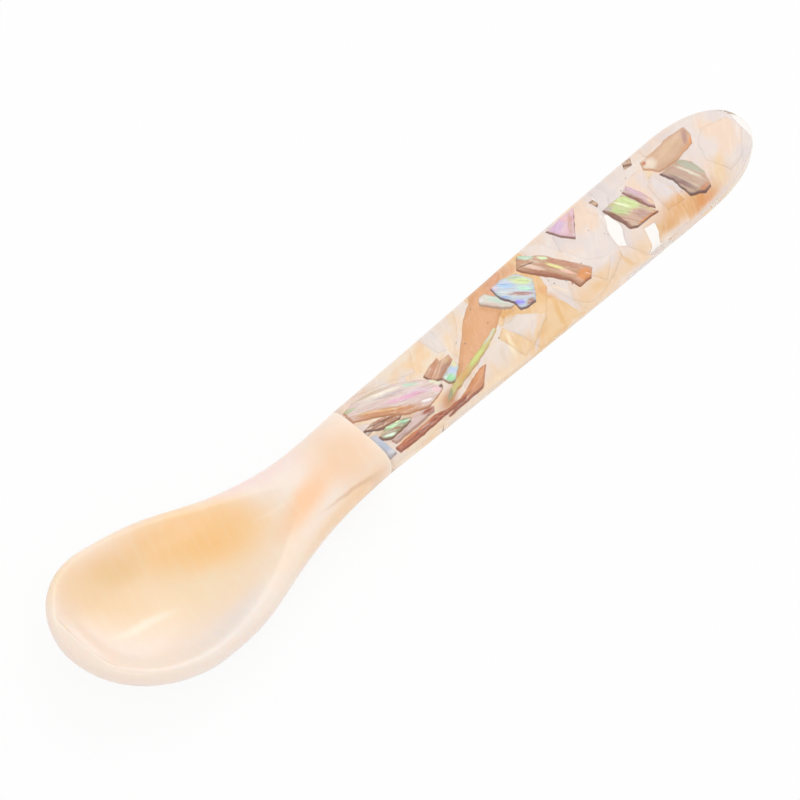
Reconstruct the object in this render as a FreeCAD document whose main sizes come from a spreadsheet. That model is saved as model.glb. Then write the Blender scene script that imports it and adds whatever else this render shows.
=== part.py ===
import FreeCAD, Part
import math
import os
import Sketcher
from FreeCAD import Placement, Rotation, Vector

# A caviar spoon: a bowl and neck carved in one piece of shell, butted and glued to a handle
# cast in clear resin, with pieces of abalone and mother-of-pearl set in the casting.
# Millimetres. X runs from the bowl's tip to the handle's tip, +Y is the far side and Z is up.
# Z = 0 is the table, and each sub-part's own origin is the middle of the glue joint at the table.

SIZES = [
    # name, value, what it sets
    ("bowl_length", 54.0, "bowl's tip to the glue joint"),
    ("bowl_width", 25.3, "across the bowl at its widest"),
    ("bowl_height", 6.2, "underside to the widest line, where the bowl is deepest"),
    ("lip_rise", 2.6, "rise of the lip from the deepest place to the bowl's tip"),
    ("lip_thickness", 2.4, "thickness of the carved lip"),
    ("lip_margin", 1.3, "lip left outside the hollow"),
    ("hollow_depth", 4.6, "depth of the hollow below the lip"),
    ("bowl_lean", 1.6, "how far the carved bowl leans to the far side"),
    ("joint_width", 11.5, "width at the glue joint"),
    ("joint_thickness", 6.2, "thickness at the glue joint"),
    ("joint_rise", 0.8, "underside of the joint above the table"),
    ("handle_length", 73.0, "glue joint to the handle's tip"),
    ("handle_width", 12.8, "width of the handle near its tip"),
    ("handle_thickness", 7.2, "thickness of the handle near its tip"),
    ("nose_length", 12.2, "length of the handle's rounded end"),
    ("resin_cover", 0.2, "resin over every piece of shell"),
    ("abalone_thickness", 0.75, "thickness of an abalone piece"),
    ("pearl_thickness", 0.6, "thickness of a mother-of-pearl flake"),
    ("abalone_curl", 16.0, "radius of an abalone piece's curve"),
    ("pearl_curl", 90.0, "radius of a flake's curve"),
]

doc = FreeCAD.newDocument("caviar_spoon")
sheet = doc.addObject("Spreadsheet::Sheet", "Sizes")
for row, (alias, value, note) in enumerate(SIZES, start=1):
    sheet.set("A%d" % row, str(value))
    sheet.setAlias("A%d" % row, alias)
    sheet.set("B%d" % row, note)
doc.recompute()

JOINT_X = "(Sizes.bowl_length - Sizes.handle_length) / 2"
# The leaning bowl reaches further to the far side, so the axis stands this share off the origin.
AXIS_Y = "-Sizes.bowl_lean * 0.6"


def new_body(label):
    """An empty body whose origin is the middle of the glue joint, at the table."""
    body = doc.addObject("PartDesign::Body", label)
    body.Label = label
    body.setExpression("Placement.Base.x", JOINT_X)
    body.setExpression("Placement.Base.y", AXIS_Y)
    return body


def own_plane(body, role):
    return next(item for item in body.Origin.OriginFeatures if item.Role == role)


def new_sketch(body, name, role):
    sketch = body.newObject("Sketcher::SketchObject", name)
    sketch.AttachmentSupport = [(own_plane(body, role), "")]
    sketch.MapMode = "FlatFace"
    return sketch


def hold_point(sketch, element, point, across, up):
    """Fix one point of a sketch at a place given by two expressions."""
    for kind, words in (("DistanceX", across), ("DistanceY", up)):
        index = sketch.addConstraint(Sketcher.Constraint(kind, -1, 1, element, point, 1.0))
        sketch.setExpression("Constraints[%d]" % index, words)


def ring(body, name, place, half_width, height_up, height_down, square_up, square_down):
    """A closed smooth section across X, drawn by eight poles about its widest line.

    place is the section's (x, y, z). A squareness of 0.78 gives an ellipse, and 1 a rounded box.
    The poles stand outside the curve, set out so that it just reaches the width and both heights.
    """
    sketch = new_sketch(body, name, "YZ_Plane")
    for axis, words in zip("zxy", place):
        sketch.setExpression("AttachmentOffset.Base.%s" % axis, words)
    side = 1.5 - 0.25 * (square_up + square_down)
    poles = [
        (side, 0, height_up),
        (square_up, square_up, height_up),
        (0, 1.5 - 0.5 * square_up, height_up),
        (-square_up, square_up, height_up),
        (-side, 0, height_up),
        (-square_down, -square_down, height_down),
        (0, 0.5 * square_down - 1.5, height_down),
        (square_down, -square_down, height_down),
    ]
    start = [Vector(5 * across, 5 * up, 0) for across, up, height in poles]
    curve = sketch.addGeometry(Part.BSplineCurve(start, None, None, True, 3, None, False), False)
    sketch.exposeInternalGeometry(curve)
    for index, (across, up, height) in enumerate(poles, start=curve + 1):
        hold_point(sketch, index, 3, "(%s) * %.4f" % (half_width, across), "(%s) * %.4f" % (height, up))
    return sketch


def loft(body, name, kind, rings):
    feature = body.newObject(kind, name)
    feature.Profile = rings[0]
    feature.Sections = rings[1:]
    for item in rings:
        item.Visibility = False
    return feature


def blend(first, share, second):
    """Expression: share of the first size and the rest of the second."""
    return "(%s) * %.4f + (%s) * %.4f" % (first, share, second, 1 - share)


def ellipse_share(position, length, power=2.0):
    """Height, from 0 to 1, of a rounded end of this length, at a position from its tip."""
    left = min(max(1 - position / length, 0.0), 1.0)
    return max(1 - left ** power, 0.0) ** (1 / power)


HALF_BOWL = "Sizes.bowl_width / 2"
HALF_JOINT = "Sizes.joint_width / 2"
HALF_THICK = "Sizes.joint_thickness / 2"
JOINT_MIDDLE = "Sizes.joint_rise + Sizes.joint_thickness / 2"

# Shares of the bowl's length, from its tip: where it is widest, and where it is deepest.
WIDEST = 0.262
DEEPEST = 0.335
# How full the tip is in side view, and the depth that it has at its very end, as a place.
KEEL_POWER = 2.3
KEEL_START = 0.004
# The lip thins over the part of the tip that is narrower than this share of the bowl's width.
THIN_TIP = 0.5
# The lip rises along this power of the distance to the joint.
LIP_POWER = 1.7
# Share of the lean that is gone where the bowl is widest.
LEAN_LOST = 0.45
NOSE_STATIONS = (0.0006, 0.006, 0.02, 0.045, 0.085, 0.14, 0.2, 0.262)
# From there to the joint: place, share of the bowl's width, of its height under and over the
# widest line, of the widest line's own height, and of the lean.
NECK_STATIONS = (
    (0.335, 0.965, 0.99, 1.00, 1.00, 0.38),
    (0.445, 0.820, 0.74, 0.90, 0.75, 0.02),
    (0.555, 0.530, 0.47, 0.80, 0.52, -0.28),
    (0.665, 0.260, 0.22, 0.60, 0.33, -0.36),
    (0.800, 0.055, 0.06, 0.30, 0.16, -0.30),
    (0.900, 0.005, 0.00, 0.10, 0.06, -0.14),
    (1.000, 0.000, 0.00, 0.00, 0.00, 0.00),
)
# The neck's squareness turns from the bowl's to the handle's from this place to the joint.
BOWL_SQUARE = 0.92
HANDLE_SQUARE = 0.96
SQUARE_TURN = 0.5


def lip_share(position):
    """Share of lip_rise that the widest line has gained at a position from the bowl's tip."""
    gained = (1 - position) ** LIP_POWER - (1 - DEEPEST) ** LIP_POWER
    return gained / (1 - (1 - DEEPEST) ** LIP_POWER)


def bowl_sections():
    """Every section of the bowl's outer form: position, half width, heights, middle and lean."""
    sections = []
    for position in NOSE_STATIONS:
        wide = ellipse_share(position, WIDEST)
        deep = ellipse_share(position + KEEL_START, DEEPEST, KEEL_POWER)
        crown = min(1.0, wide / THIN_TIP)
        lean = 1.0 - LEAN_LOST * (position / WIDEST) ** 3
        sections.append((
            position,
            "%s * %.4f" % (HALF_BOWL, wide),
            "Sizes.lip_thickness / 2 * %.4f" % crown,
            "Sizes.bowl_height * %.4f" % deep,
            "Sizes.bowl_height + Sizes.lip_rise * %.4f" % lip_share(position),
            lean,
        ))
    for position, wide, deep, crown, middle, lean in NECK_STATIONS:
        sections.append((
            position,
            blend(HALF_BOWL, wide, HALF_JOINT),
            blend("Sizes.lip_thickness / 2", crown, HALF_THICK),
            blend("Sizes.bowl_height", deep, HALF_THICK),
            blend("Sizes.bowl_height", middle, JOINT_MIDDLE),
            lean,
        ))
    return sections


# The hollow: position, share of the width inside the lip, share of its depth, and the lean.
HOLLOW_STATIONS = (
    (0.036, 0.230, -0.06, 0.98),
    (0.043, 0.370, 0.22, 0.98),
    (0.062, 0.530, 0.42, 0.97),
    (0.100, 0.730, 0.66, 0.95),
    (0.160, 0.910, 0.87, 0.86),
    (0.230, 0.990, 0.98, 0.68),
    (0.300, 0.985, 1.00, 0.47),
    (0.380, 0.910, 0.92, 0.22),
    (0.460, 0.780, 0.74, 0.02),
    (0.540, 0.610, 0.50, -0.15),
    (0.620, 0.430, 0.26, -0.20),
    (0.700, 0.260, 0.07, -0.20),
    (0.760, 0.130, -0.06, -0.15),
)
# Each section of the hollow is widest this share of its depth above the lip, so that its walls lean
# outwards where they meet the lip, and it is this much wider there.
HOLLOW_HOVER = 0.85
HOLLOW_SPREAD = 1.12
LEAST_HOVER = 0.12
HOLLOW_SQUARE = 0.80


def lip_top(position):
    """Expression for the height of the bowl's upper face at a position from its tip."""
    if position <= DEEPEST:
        return "Sizes.bowl_height + Sizes.lip_rise * %.4f + Sizes.lip_thickness / 2" % lip_share(position)
    rows = [(row[0], row[3], row[4]) for row in NECK_STATIONS]
    for (left, crown_1, middle_1), (right, crown_2, middle_2) in zip(rows, rows[1:]):
        if position <= right:
            part = (position - left) / (right - left)
            crown = crown_1 + part * (crown_2 - crown_1)
            middle = middle_1 + part * (middle_2 - middle_1)
            break
    return "%s + %s" % (
        blend("Sizes.bowl_height", middle, JOINT_MIDDLE),
        blend("Sizes.lip_thickness / 2", crown, HALF_THICK),
    )


def make_bowl():
    """The scoop and its neck, one solid carved from a single shell."""
    body = new_body("bowl")
    outer = []
    for number, (position, half, up, down, middle, lean) in enumerate(bowl_sections()):
        turned = max(0.0, position - SQUARE_TURN) / (1 - SQUARE_TURN)
        square = BOWL_SQUARE + (HANDLE_SQUARE - BOWL_SQUARE) * turned
        place = (
            "-Sizes.bowl_length * %.4f" % (1 - position),
            "Sizes.bowl_lean * %.4f" % lean,
            middle,
        )
        outer.append(ring(body, "Outer%02d" % number, place, half, up, down, square, square))
    loft(body, "Carving", "PartDesign::AdditiveLoft", outer)
    hollow = []
    for number, (position, wide, deep, lean) in enumerate(HOLLOW_STATIONS):
        hover = "Sizes.hollow_depth * %.4f" % (HOLLOW_HOVER * max(deep, LEAST_HOVER))
        place = (
            "-Sizes.bowl_length * %.4f" % (1 - position),
            "Sizes.bowl_lean * %.4f" % lean,
            "%s + %s" % (lip_top(position), hover),
        )
        half = "(%s - Sizes.lip_margin) * %.4f" % (HALF_BOWL, wide * HOLLOW_SPREAD)
        down = "%s + Sizes.hollow_depth * %.4f" % (hover, deep)
        hollow.append(ring(body, "Hollow%02d" % number, place, half, hover, down,
                           HOLLOW_SQUARE, HOLLOW_SQUARE))
    loft(body, "Hollow", "PartDesign::SubtractiveLoft", hollow)
    return body


# The handle: place as a share of the straight shaft, shares of the way from the joint's width and
# thickness to the handle's own, and share of the joint's rise that the underside keeps.
SHAFT_STATIONS = (
    (0.00, 0.00, 0.00, 1.00),
    (0.14, 0.14, 0.30, 0.50),
    (0.28, 0.28, 0.58, 0.22),
    (0.42, 0.45, 0.80, 0.08),
    (0.56, 0.68, 0.94, 0.02),
    (0.69, 0.88, 1.00, 0.00),
    (0.80, 0.97, 1.00, 0.00),
    (0.91, 1.00, 1.00, 0.00),
)
# Sections of the rounded end, as angles round it, and how full it is in plan and in side view.
NOSE_ANGLES = (0, 18, 35, 50, 62, 72, 80, 86, 89.2)
NOSE_POWER = 2.15
NOSE_SIDE_POWER = 0.8
HALF_HANDLE = "Sizes.handle_width / 2"
HALF_HANDLE_THICK = "Sizes.handle_thickness / 2"


def make_handle_form(label, inset):
    """The handle's outer form, drawn in all round by the expression inset."""
    body = new_body(label)
    rings = []

    def add(place, half_width, half_thick, middle):
        half_width = "(%s) - %s" % (half_width, inset)
        half_thick = "(%s) - %s" % (half_thick, inset)
        rings.append(ring(body, "Section%02d" % len(rings), (place, "0", middle), half_width,
                          half_thick, half_thick, HANDLE_SQUARE, HANDLE_SQUARE))

    for share, wide, thick, kept in SHAFT_STATIONS:
        start = "(Sizes.handle_length - Sizes.nose_length) * %.4f + %s * %.4f" % (share, inset, 1 - share)
        half_thick = blend(HALF_HANDLE_THICK, thick, HALF_THICK)
        add(start, blend(HALF_HANDLE, wide, HALF_JOINT), half_thick,
            "%s + Sizes.joint_rise * %.4f" % (half_thick, kept))
    for angle in NOSE_ANGLES:
        reach = math.sin(math.radians(angle))
        share = (1 - reach ** NOSE_POWER) ** (1 / NOSE_POWER)
        place = "Sizes.handle_length - %s - (Sizes.nose_length - %s) * %.5f" % (inset, inset, 1 - reach)
        add(place, "(%s - %s) * %.4f + %s" % (HALF_HANDLE, inset, share, inset),
            "(%s - %s) * %.4f + %s" % (HALF_HANDLE_THICK, inset, share ** NOSE_SIDE_POWER, inset),
            HALF_HANDLE_THICK)
    loft(body, "Form", "PartDesign::AdditiveLoft", rings)
    return body


# Every piece of shell is drawn in plan, with X from the joint and Y from the axis. One unit of the
# plan is this share of the handle's length along it, and of its width across.
ALONG_SHARE = 1 / 73.0
ACROSS_SHARE = 1 / 12.8
# The curved band that each piece is cut from: its angle, and half its length.
BAND_ANGLE = 56.0
BAND_HALF_LENGTH = 20.0

# Height of each layer's middle, as a share of the handle's thickness, from the back to the face.
LAYERS = {"back": 0.155, "deep": 0.290, "low": 0.420, "middle": 0.550, "high": 0.700, "face": 0.860}

# Name, layer, direction of its long side in degrees from X, tilt about it, and the outline.
ABALONE = (
    ("blade", "face", -4, 2, ((56.7, 2.8), (57.2, 3.9), (59.4, 3.9), (62.9, 4.2), (65.4, 3.8), (65.3, 2.4),
                              (64.5, 1.2), (60.9, 0.7), (58.1, 1.1))),
    ("curved", "high", -72, -2, ((58.1, 1.1), (61.6, 1.2), (62.7, -0.4), (62.8, -2.6), (61.9, -4.7),
                                 (60.7, -4.9), (58.8, -3.9), (58.7, -2.4), (58.8, -0.7))),
    ("diamond", "face", -60, 3, ((48.1, 2.0), (51.8, 2.1), (52.8, -1.6), (53.5, -3.3), (49.8, -3.0),
                                 (48.9, -2.4))),
    ("strip", "high", -75, -3, ((52.4, 2.6), (53.6, 3.0), (54.3, 1.0), (54.6, -1.1), (54.0, -2.2),
                                (53.4, -1.4))),
    ("triangle", "high", 20, 2, ((40.8, 5.3), (46.2, 5.4), (42.9, 1.9), (41.6, 3.4))),
    ("long", "face", -66, 3, ((34.9, 5.2), (37.5, 2.5), (38.7, 0.4), (40.1, -1.9), (40.8, -3.3), (39.6, -4.3),
                              (37.5, -4.2), (37.2, -2.6), (35.7, -0.2), (34.3, 1.7), (33.3, 3.6))),
    ("blue", "face", -50, -3, ((28.6, 3.9), (30.5, 4.1), (32.8, 3.4), (33.9, 1.2), (32.5, -0.8), (31.6, -1.8),
                               (30.1, -1.7), (29.2, -1.2), (29.3, 0.1), (28.4, 2.0))),
    ("pale", "high", -60, 2, ((26.1, 3.5), (26.9, 4.3), (27.9, 4.2), (28.9, 2.4), (30.2, 0.3), (28.9, 0.1),
                              (27.9, 1.0))),
    ("broad", "middle", 24, -1, ((12.9, -3.8), (14.6, -2.5), (17.9, -0.6), (21.1, 1.9), (23.3, 3.8),
                                 (26.6, 5.4), (32.0, 5.4), (28.2, 1.3), (24.2, -0.9), (18.8, -2.3),
                                 (15.6, -3.1))),
    ("ribbon", "high", 12, 2, ((12.1, -4.2), (13.9, -3.0), (16.4, -2.4), (19.0, -1.9), (21.2, -1.4),
                               (25.0, -0.3), (25.0, -0.8), (21.3, -2.2), (19.0, -2.8), (16.3, -3.3),
                               (13.8, -3.9))),
    ("brown", "middle", 12, 1, ((11.3, -5.0), (14.2, -4.3), (16.6, -3.7), (19.3, -3.0), (20.5, -3.1),
                                (19.1, -4.0), (17.9, -4.8), (14.9, -5.1))),
    ("mint", "face", 15, -3, ((13.8, -1.6), (15.7, -0.9), (17.0, -0.5), (16.8, -1.8), (14.8, -3.1),
                              (14.0, -2.7))),
    ("notch", "high", 25, 4, ((12.6, 0.8), (14.4, 1.5), (16.0, 1.7), (15.9, 1.0), (17.6, 0.9), (17.4, 0.1),
                              (16.2, -0.6), (14.3, -1.3), (13.0, -0.7))),
    ("lance", "face", -25, 4, ((0.4, 3.9), (2.3, 4.3), (5.6, 3.7), (8.5, 2.6), (11.2, 0.8), (12.6, -0.6),
                               (13.3, -1.9), (13.0, -2.6), (11.4, -3.1), (9.7, -3.4), (6.9, -2.3),
                               (4.7, -0.5), (2.1, 1.0), (0.4, 2.0))),
    ("lump", "face", -12, -3, ((1.1, -2.2), (3.0, -1.6), (4.8, -2.0), (6.5, -2.9), (6.1, -3.3), (4.1, -3.5),
                               (2.2, -3.5), (1.2, -2.8))),
    ("root", "high", -14, 3, ((0.6, 0.3), (2.6, 0.5), (4.3, 0.0), (6.4, -1.3), (5.6, -1.6), (3.3, -1.3),
                              (2.1, -0.8))),
    ("red", "high", -2, 2, ((2.0, -4.3), (5.0, -4.3), (9.5, -4.3), (11.4, -4.8), (14.8, -4.9), (14.6, -5.3),
                            (9.5, -5.3), (4.0, -5.3), (2.2, -5.1))),
    ("mauve", "high", -6, -2, ((2.4, -3.2), (4.6, -3.2), (7.2, -2.5), (9.0, -2.8), (10.5, -3.3), (9.9, -3.9),
                               (6.0, -3.9), (2.6, -3.9))),
    ("collar", "high", -88, 0, ((0.4, -0.8), (1.5, -1.2), (1.6, -4.9), (0.4, -4.9))),
    ("wedge", "middle", -35, 1, ((0.4, 2.4), (3.9, 0.0), (0.8, -0.2))),
    ("under_blade", "back", 40, 2, ((7.0, -1.8), (12.0, 2.4), (15.0, 1.8), (10.0, -2.8))),
    ("under_leaf", "back", -8, -2, ((24.0, 2.8), (31.0, 3.0), (30.0, 0.8), (25.5, 0.3))),
    ("under_shard", "back", 20, 2, ((37.0, -3.2), (43.0, -1.2), (42.0, 1.0), (36.0, -0.8))),
    ("under_tip", "back", -35, -2, ((56.0, 1.0), (61.0, -2.5), (62.5, -0.4), (58.0, 2.6))),
)
PEARL = (
    ("middle", 10, 1, ((1.0, 3.0), (0.6, 6.0), (9.0, 6.2), (12.0, 3.2), (8.4, 0.8), (4.6, 0.6))),
    ("middle", -10, -1, ((0.6, -5.9), (0.9, -0.8), (7.0, -0.2), (10.6, -2.6), (10.0, -6.0))),
    ("middle", 25, 1, ((9.4, 0.6), (12.6, 3.2), (13.4, 6.3), (24.3, 6.3), (20.6, 2.2), (16.8, -0.3),
                       (11.6, -2.2))),
    ("middle", 35, -1, ((24.6, -1.6), (29.0, 0.8), (33.0, 5.9), (36.4, 6.3), (35.0, -0.5), (31.5, -3.6),
                        (25.5, -5.6))),
    ("middle", 60, 1, ((46.6, 6.0), (48.0, 2.4), (47.1, 0.0), (46.4, -2.6), (46.0, -3.6), (38.2, -6.3),
                       (36.2, -3.9), (39.6, 1.2), (42.0, 5.9))),
    ("middle", 80, -1, ((50.9, 3.8), (49.0, 1.8), (49.1, -0.3), (47.4, -3.1), (48.8, -5.8), (50.0, -5.0),
                        (50.9, -2.9), (52.9, -3.1), (51.2, -5.4), (52.0, -6.2), (56.5, -6.2), (58.5, -1.0),
                        (57.0, 3.9))),
    ("middle", -80, 1, ((59.0, 5.9), (60.2, 0.0), (58.6, -6.0), (66.6, -5.8), (71.4, -3.0), (71.9, 1.2),
                        (67.6, 5.6))),
    ("high", 40, -1, ((18.8, 5.6), (18.0, 1.6), (16.8, 2.1), (16.2, 5.6))),
    ("high", -20, 1, ((2.0, 5.6), (8.4, 3.6), (12.4, 2.2), (14.8, 5.7))),
    ("high", -45, 1, ((25.8, -1.1), (28.6, -1.0), (31.6, -3.6), (27.4, -5.6))),
    ("high", -60, -1, ((36.2, 5.8), (38.6, 5.0), (41.6, -1.6), (44.4, -3.2), (41.4, -5.4), (36.0, 2.6))),
    ("high", 70, 1, ((55.0, -3.6), (55.6, 1.0), (57.4, 1.8), (57.8, -3.8))),
    ("high", -70, -1, ((67.2, 2.4), (65.2, 1.0), (64.3, -1.5), (65.6, -4.8), (68.4, -4.2), (71.4, -1.2),
                       (71.2, 1.4))),
    ("low", 85, 1, ((0.8, -3.8), (1.0, 3.6), (6.0, 5.6), (9.4, -5.6))),
    ("low", -70, -1, ((10.6, -5.8), (7.2, 5.6), (15.6, 6.1), (17.6, 0.5), (15.0, -5.9))),
    ("low", 75, 1, ((16.4, -5.8), (18.8, 0.6), (16.8, 6.1), (25.8, 6.2), (27.0, -6.0))),
    ("low", -80, 1, ((28.4, -6.0), (27.2, 6.1), (36.0, 6.2), (34.4, -1.0), (36.6, -6.1))),
    ("low", 80, -1, ((37.8, -6.2), (35.8, -1.2), (37.4, 6.2), (50.2, 6.2), (48.7, 2.3), (47.5, 0.4),
                     (46.8, -2.2), (47.7, -2.9), (49.7, -6.1))),
    ("low", -75, 1, ((53.2, -6.2), (53.6, -2.4), (51.2, 0.5), (51.4, 6.1), (60.2, 6.2), (61.4, -2.0),
                     (60.4, -6.1))),
    ("low", 70, -1, ((62.0, -5.9), (62.8, -1.5), (61.6, 5.9), (68.2, 5.4), (71.8, 0.0), (68.6, -5.4))),
    ("deep", -85, 1, ((1.2, -5.2), (1.0, 5.2), (10.6, 5.6), (12.4, -1.0), (9.6, -5.4))),
    ("deep", 70, -1, ((11.2, -5.6), (14.0, -0.5), (12.2, 5.8), (21.0, 6.0), (22.8, -1.2), (20.4, -5.8))),
    ("deep", -70, 1, ((21.8, -5.9), (24.4, -1.0), (22.6, 6.0), (32.0, 6.0), (31.0, -5.9))),
    ("deep", 85, 1, ((32.4, -5.9), (33.4, 6.0), (45.6, 6.0), (46.6, 1.5), (44.6, -5.9))),
    ("deep", -80, -1, ((53.6, -5.9), (53.8, -2.4), (53.4, 5.9), (62.0, 5.9), (61.0, -5.9))),
    ("deep", 80, 1, ((62.4, -5.5), (63.4, 5.5), (69.6, 3.2), (70.8, -2.6))),
    ("back", 60, 1, ((16.0, -3.2), (17.0, 3.4), (22.0, 3.4), (21.0, -3.4))),
    ("back", -70, -1, ((32.0, -3.4), (31.6, 3.4), (36.6, 3.2), (34.6, -0.6), (35.6, -3.4))),
    ("back", 75, 1, ((44.4, -3.4), (43.6, 2.4), (46.6, 3.4), (46.9, -3.4))),
    ("back", -60, -1, ((53.8, -3.4), (52.6, 3.2), (55.4, 2.4), (57.4, -3.2))),
)


def polygon(sketch, corners):
    """A closed outline through corners, each a pair of expressions."""
    first = sketch.GeometryCount
    count = len(corners)
    for number in range(count):
        start = Vector(number, number * number, 0)
        end = Vector(number + 1, number * number + 1, 0)
        sketch.addGeometry(Part.LineSegment(start, end), False)
    for number in range(count):
        following = first + (number + 1) % count
        sketch.addConstraint(Sketcher.Constraint("Coincident", first + number, 2, following, 1))
        hold_point(sketch, first + number, 1, *corners[number])


def make_blank(label, layer, heading, roll, outline, thickness, curl):
    """A broken piece of shell: a curved band, straight along its heading, cut to the outline."""
    body = new_body(label)
    middle_x = sum(corner[0] for corner in outline) / len(outline)
    middle_y = sum(corner[1] for corner in outline) / len(outline)
    band = new_sketch(body, "Band", "XY_Plane")
    turn = Rotation(Vector(0, 0, 1), heading)
    tilt = Rotation(Vector(1, 0, 0), roll)
    band.AttachmentOffset = Placement(Vector(), turn * tilt * Rotation(Vector(1, 0, 0), 90))
    band.setExpression("AttachmentOffset.Base.x", "Sizes.handle_length * %.4f" % (middle_x * ALONG_SHARE))
    band.setExpression("AttachmentOffset.Base.y", "Sizes.handle_width * %.4f" % (middle_y * ACROSS_SHARE))
    band.setExpression("AttachmentOffset.Base.z",
                       "Sizes.handle_thickness * %.4f - %s" % (LAYERS[layer], curl))
    inner = "%s - %s / 2" % (curl, thickness)
    outer = "%s + %s / 2" % (curl, thickness)
    low, high = "-%s" % BAND_HALF_LENGTH, "%s" % BAND_HALF_LENGTH
    polygon(band, ((low, inner), (high, inner), (high, outer), (low, outer)))
    arch = body.newObject("PartDesign::Revolution", "Arch")
    arch.Profile = band
    arch.ReferenceAxis = (band, ["H_Axis"])
    arch.Midplane = True
    arch.Angle = BAND_ANGLE
    cut = new_sketch(body, "Outline", "XY_Plane")
    reach = "Sizes.handle_length * 2"
    polygon(cut, (("-(%s)" % reach, "-(%s)" % reach), (reach, "-(%s)" % reach), (reach, reach),
                  ("-(%s)" % reach, reach)))
    polygon(cut, [("Sizes.handle_length * %.5f" % (x * ALONG_SHARE),
                   "Sizes.handle_width * %.5f" % (y * ACROSS_SHARE)) for x, y in outline])
    edge = body.newObject("PartDesign::Pocket", "Edge")
    edge.Profile = cut
    edge.Type = "ThroughAll"
    edge.Midplane = True
    for item in (band, cut):
        item.Visibility = False
    return body


def make_piece(label, room, layer, heading, roll, outline, thickness, curl):
    """The piece as it lies in the casting, ground back wherever it would break the surface."""
    blank = make_blank(label + "_blank", layer, heading, roll, outline, thickness, curl)
    piece = doc.addObject("Part::Common", label)
    piece.Label = label
    piece.Base = blank
    piece.Tool = room
    return piece


def make_handle(pieces):
    """The clear casting, with a close pocket round every piece of shell."""
    form = make_handle_form("handle_form", "0")
    shells = doc.addObject("Part::Compound", "shell_pieces")
    shells.Links = pieces
    casting = doc.addObject("Part::Cut", "handle_resin")
    casting.Label = "handle_resin"
    casting.Base = form
    casting.Tool = shells
    return casting


bowl = make_bowl()
room = make_handle_form("shell_room", "Sizes.resin_cover")
pieces = []
for name, layer, heading, roll, outline in ABALONE:
    pieces.append(make_piece("abalone_" + name, room, layer, heading, roll, outline,
                             "Sizes.abalone_thickness", "Sizes.abalone_curl"))
for number, (layer, heading, roll, outline) in enumerate(PEARL, start=1):
    pieces.append(make_piece("pearl_flake_%02d" % number, room, layer, heading, roll, outline,
                             "Sizes.pearl_thickness", "Sizes.pearl_curl"))
handle = make_handle(pieces)
doc.recompute()

parts = [bowl, handle] + pieces
for item in doc.Objects:
    if "Invalid" in item.State or "Error" in item.State:
        raise RuntimeError("%s did not compute: %s" % (item.Label, item.State))
for part in parts:
    if part.Shape.isNull() or not part.Shape.isValid() or part.Shape.Volume <= 0:
        raise RuntimeError("%s has no sound shape" % part.Label)
    if len(part.Shape.Solids) != 1:
        raise RuntimeError("%s is %d solids" % (part.Label, len(part.Shape.Solids)))

os.makedirs("parts", exist_ok=True)
for part in parts:
    part.Shape.exportStep("parts/%s.step" % part.Label)
    print("%-22s %10.2f mm3" % (part.Label, part.Shape.Volume))
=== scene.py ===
import math

import bmesh
import bpy
import numpy as np
from mathutils import Matrix, Vector, geometry, noise


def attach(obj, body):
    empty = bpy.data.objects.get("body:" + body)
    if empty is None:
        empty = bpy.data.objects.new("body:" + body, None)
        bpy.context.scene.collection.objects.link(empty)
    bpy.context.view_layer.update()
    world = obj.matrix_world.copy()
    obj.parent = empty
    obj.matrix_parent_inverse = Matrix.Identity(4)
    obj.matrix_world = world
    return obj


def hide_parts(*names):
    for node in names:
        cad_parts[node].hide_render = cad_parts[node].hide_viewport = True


# A caviar spoon: a carved shell bowl glued to a clear casting with shell pieces set in it.
# The tables below are in millimetres, with X from the glue joint towards the handle's tip and
# Y from the spoon's axis towards the far side, as the handle is laid out on the bench.

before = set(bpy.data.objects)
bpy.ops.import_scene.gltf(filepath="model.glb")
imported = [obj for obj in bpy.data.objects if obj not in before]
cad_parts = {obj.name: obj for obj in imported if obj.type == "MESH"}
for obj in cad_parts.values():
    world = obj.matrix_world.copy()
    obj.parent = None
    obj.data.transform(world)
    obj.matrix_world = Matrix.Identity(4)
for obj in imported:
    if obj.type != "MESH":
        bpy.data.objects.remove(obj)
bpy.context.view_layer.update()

MM = 0.001
JOINT_AT = Vector((-9.5, -0.96, 0.0))

BOWL_LENGTH = 54.0
HALF_BOWL_WIDTH = 12.65
BOWL_HEIGHT = 6.2
LIP_RISE = 2.6
HALF_LIP = 1.2
LIP_MARGIN = 1.3
HOLLOW_DEPTH = 4.6
BOWL_LEAN = 1.6
HALF_JOINT = 5.75
HALF_JOINT_THICK = 3.1
JOINT_RISE = 0.8
JOINT_MIDDLE = JOINT_RISE + HALF_JOINT_THICK
HANDLE_LENGTH = 73.0
HALF_HANDLE = 6.4
HALF_HANDLE_THICK = 3.6
NOSE_LENGTH = 12.2
# How square the sections are: 0.78 is an ellipse, and 1 a rounded box.
BOWL_SQUARE = 0.92
HOLLOW_SQUARE = 0.80
HANDLE_SQUARE = 0.96
# Clear resin kept round every piece of shell.
COVER = 0.2
# The way to the viewer, in the spoon's plan.
TOWARDS_VIEWER = Vector((-0.75, -0.66))


def to_metres(points):
    """Points of the bench layout at the joint's place in the frame, in metres."""
    return [tuple((Vector(point) + JOINT_AT) * MM) for point in points]


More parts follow.
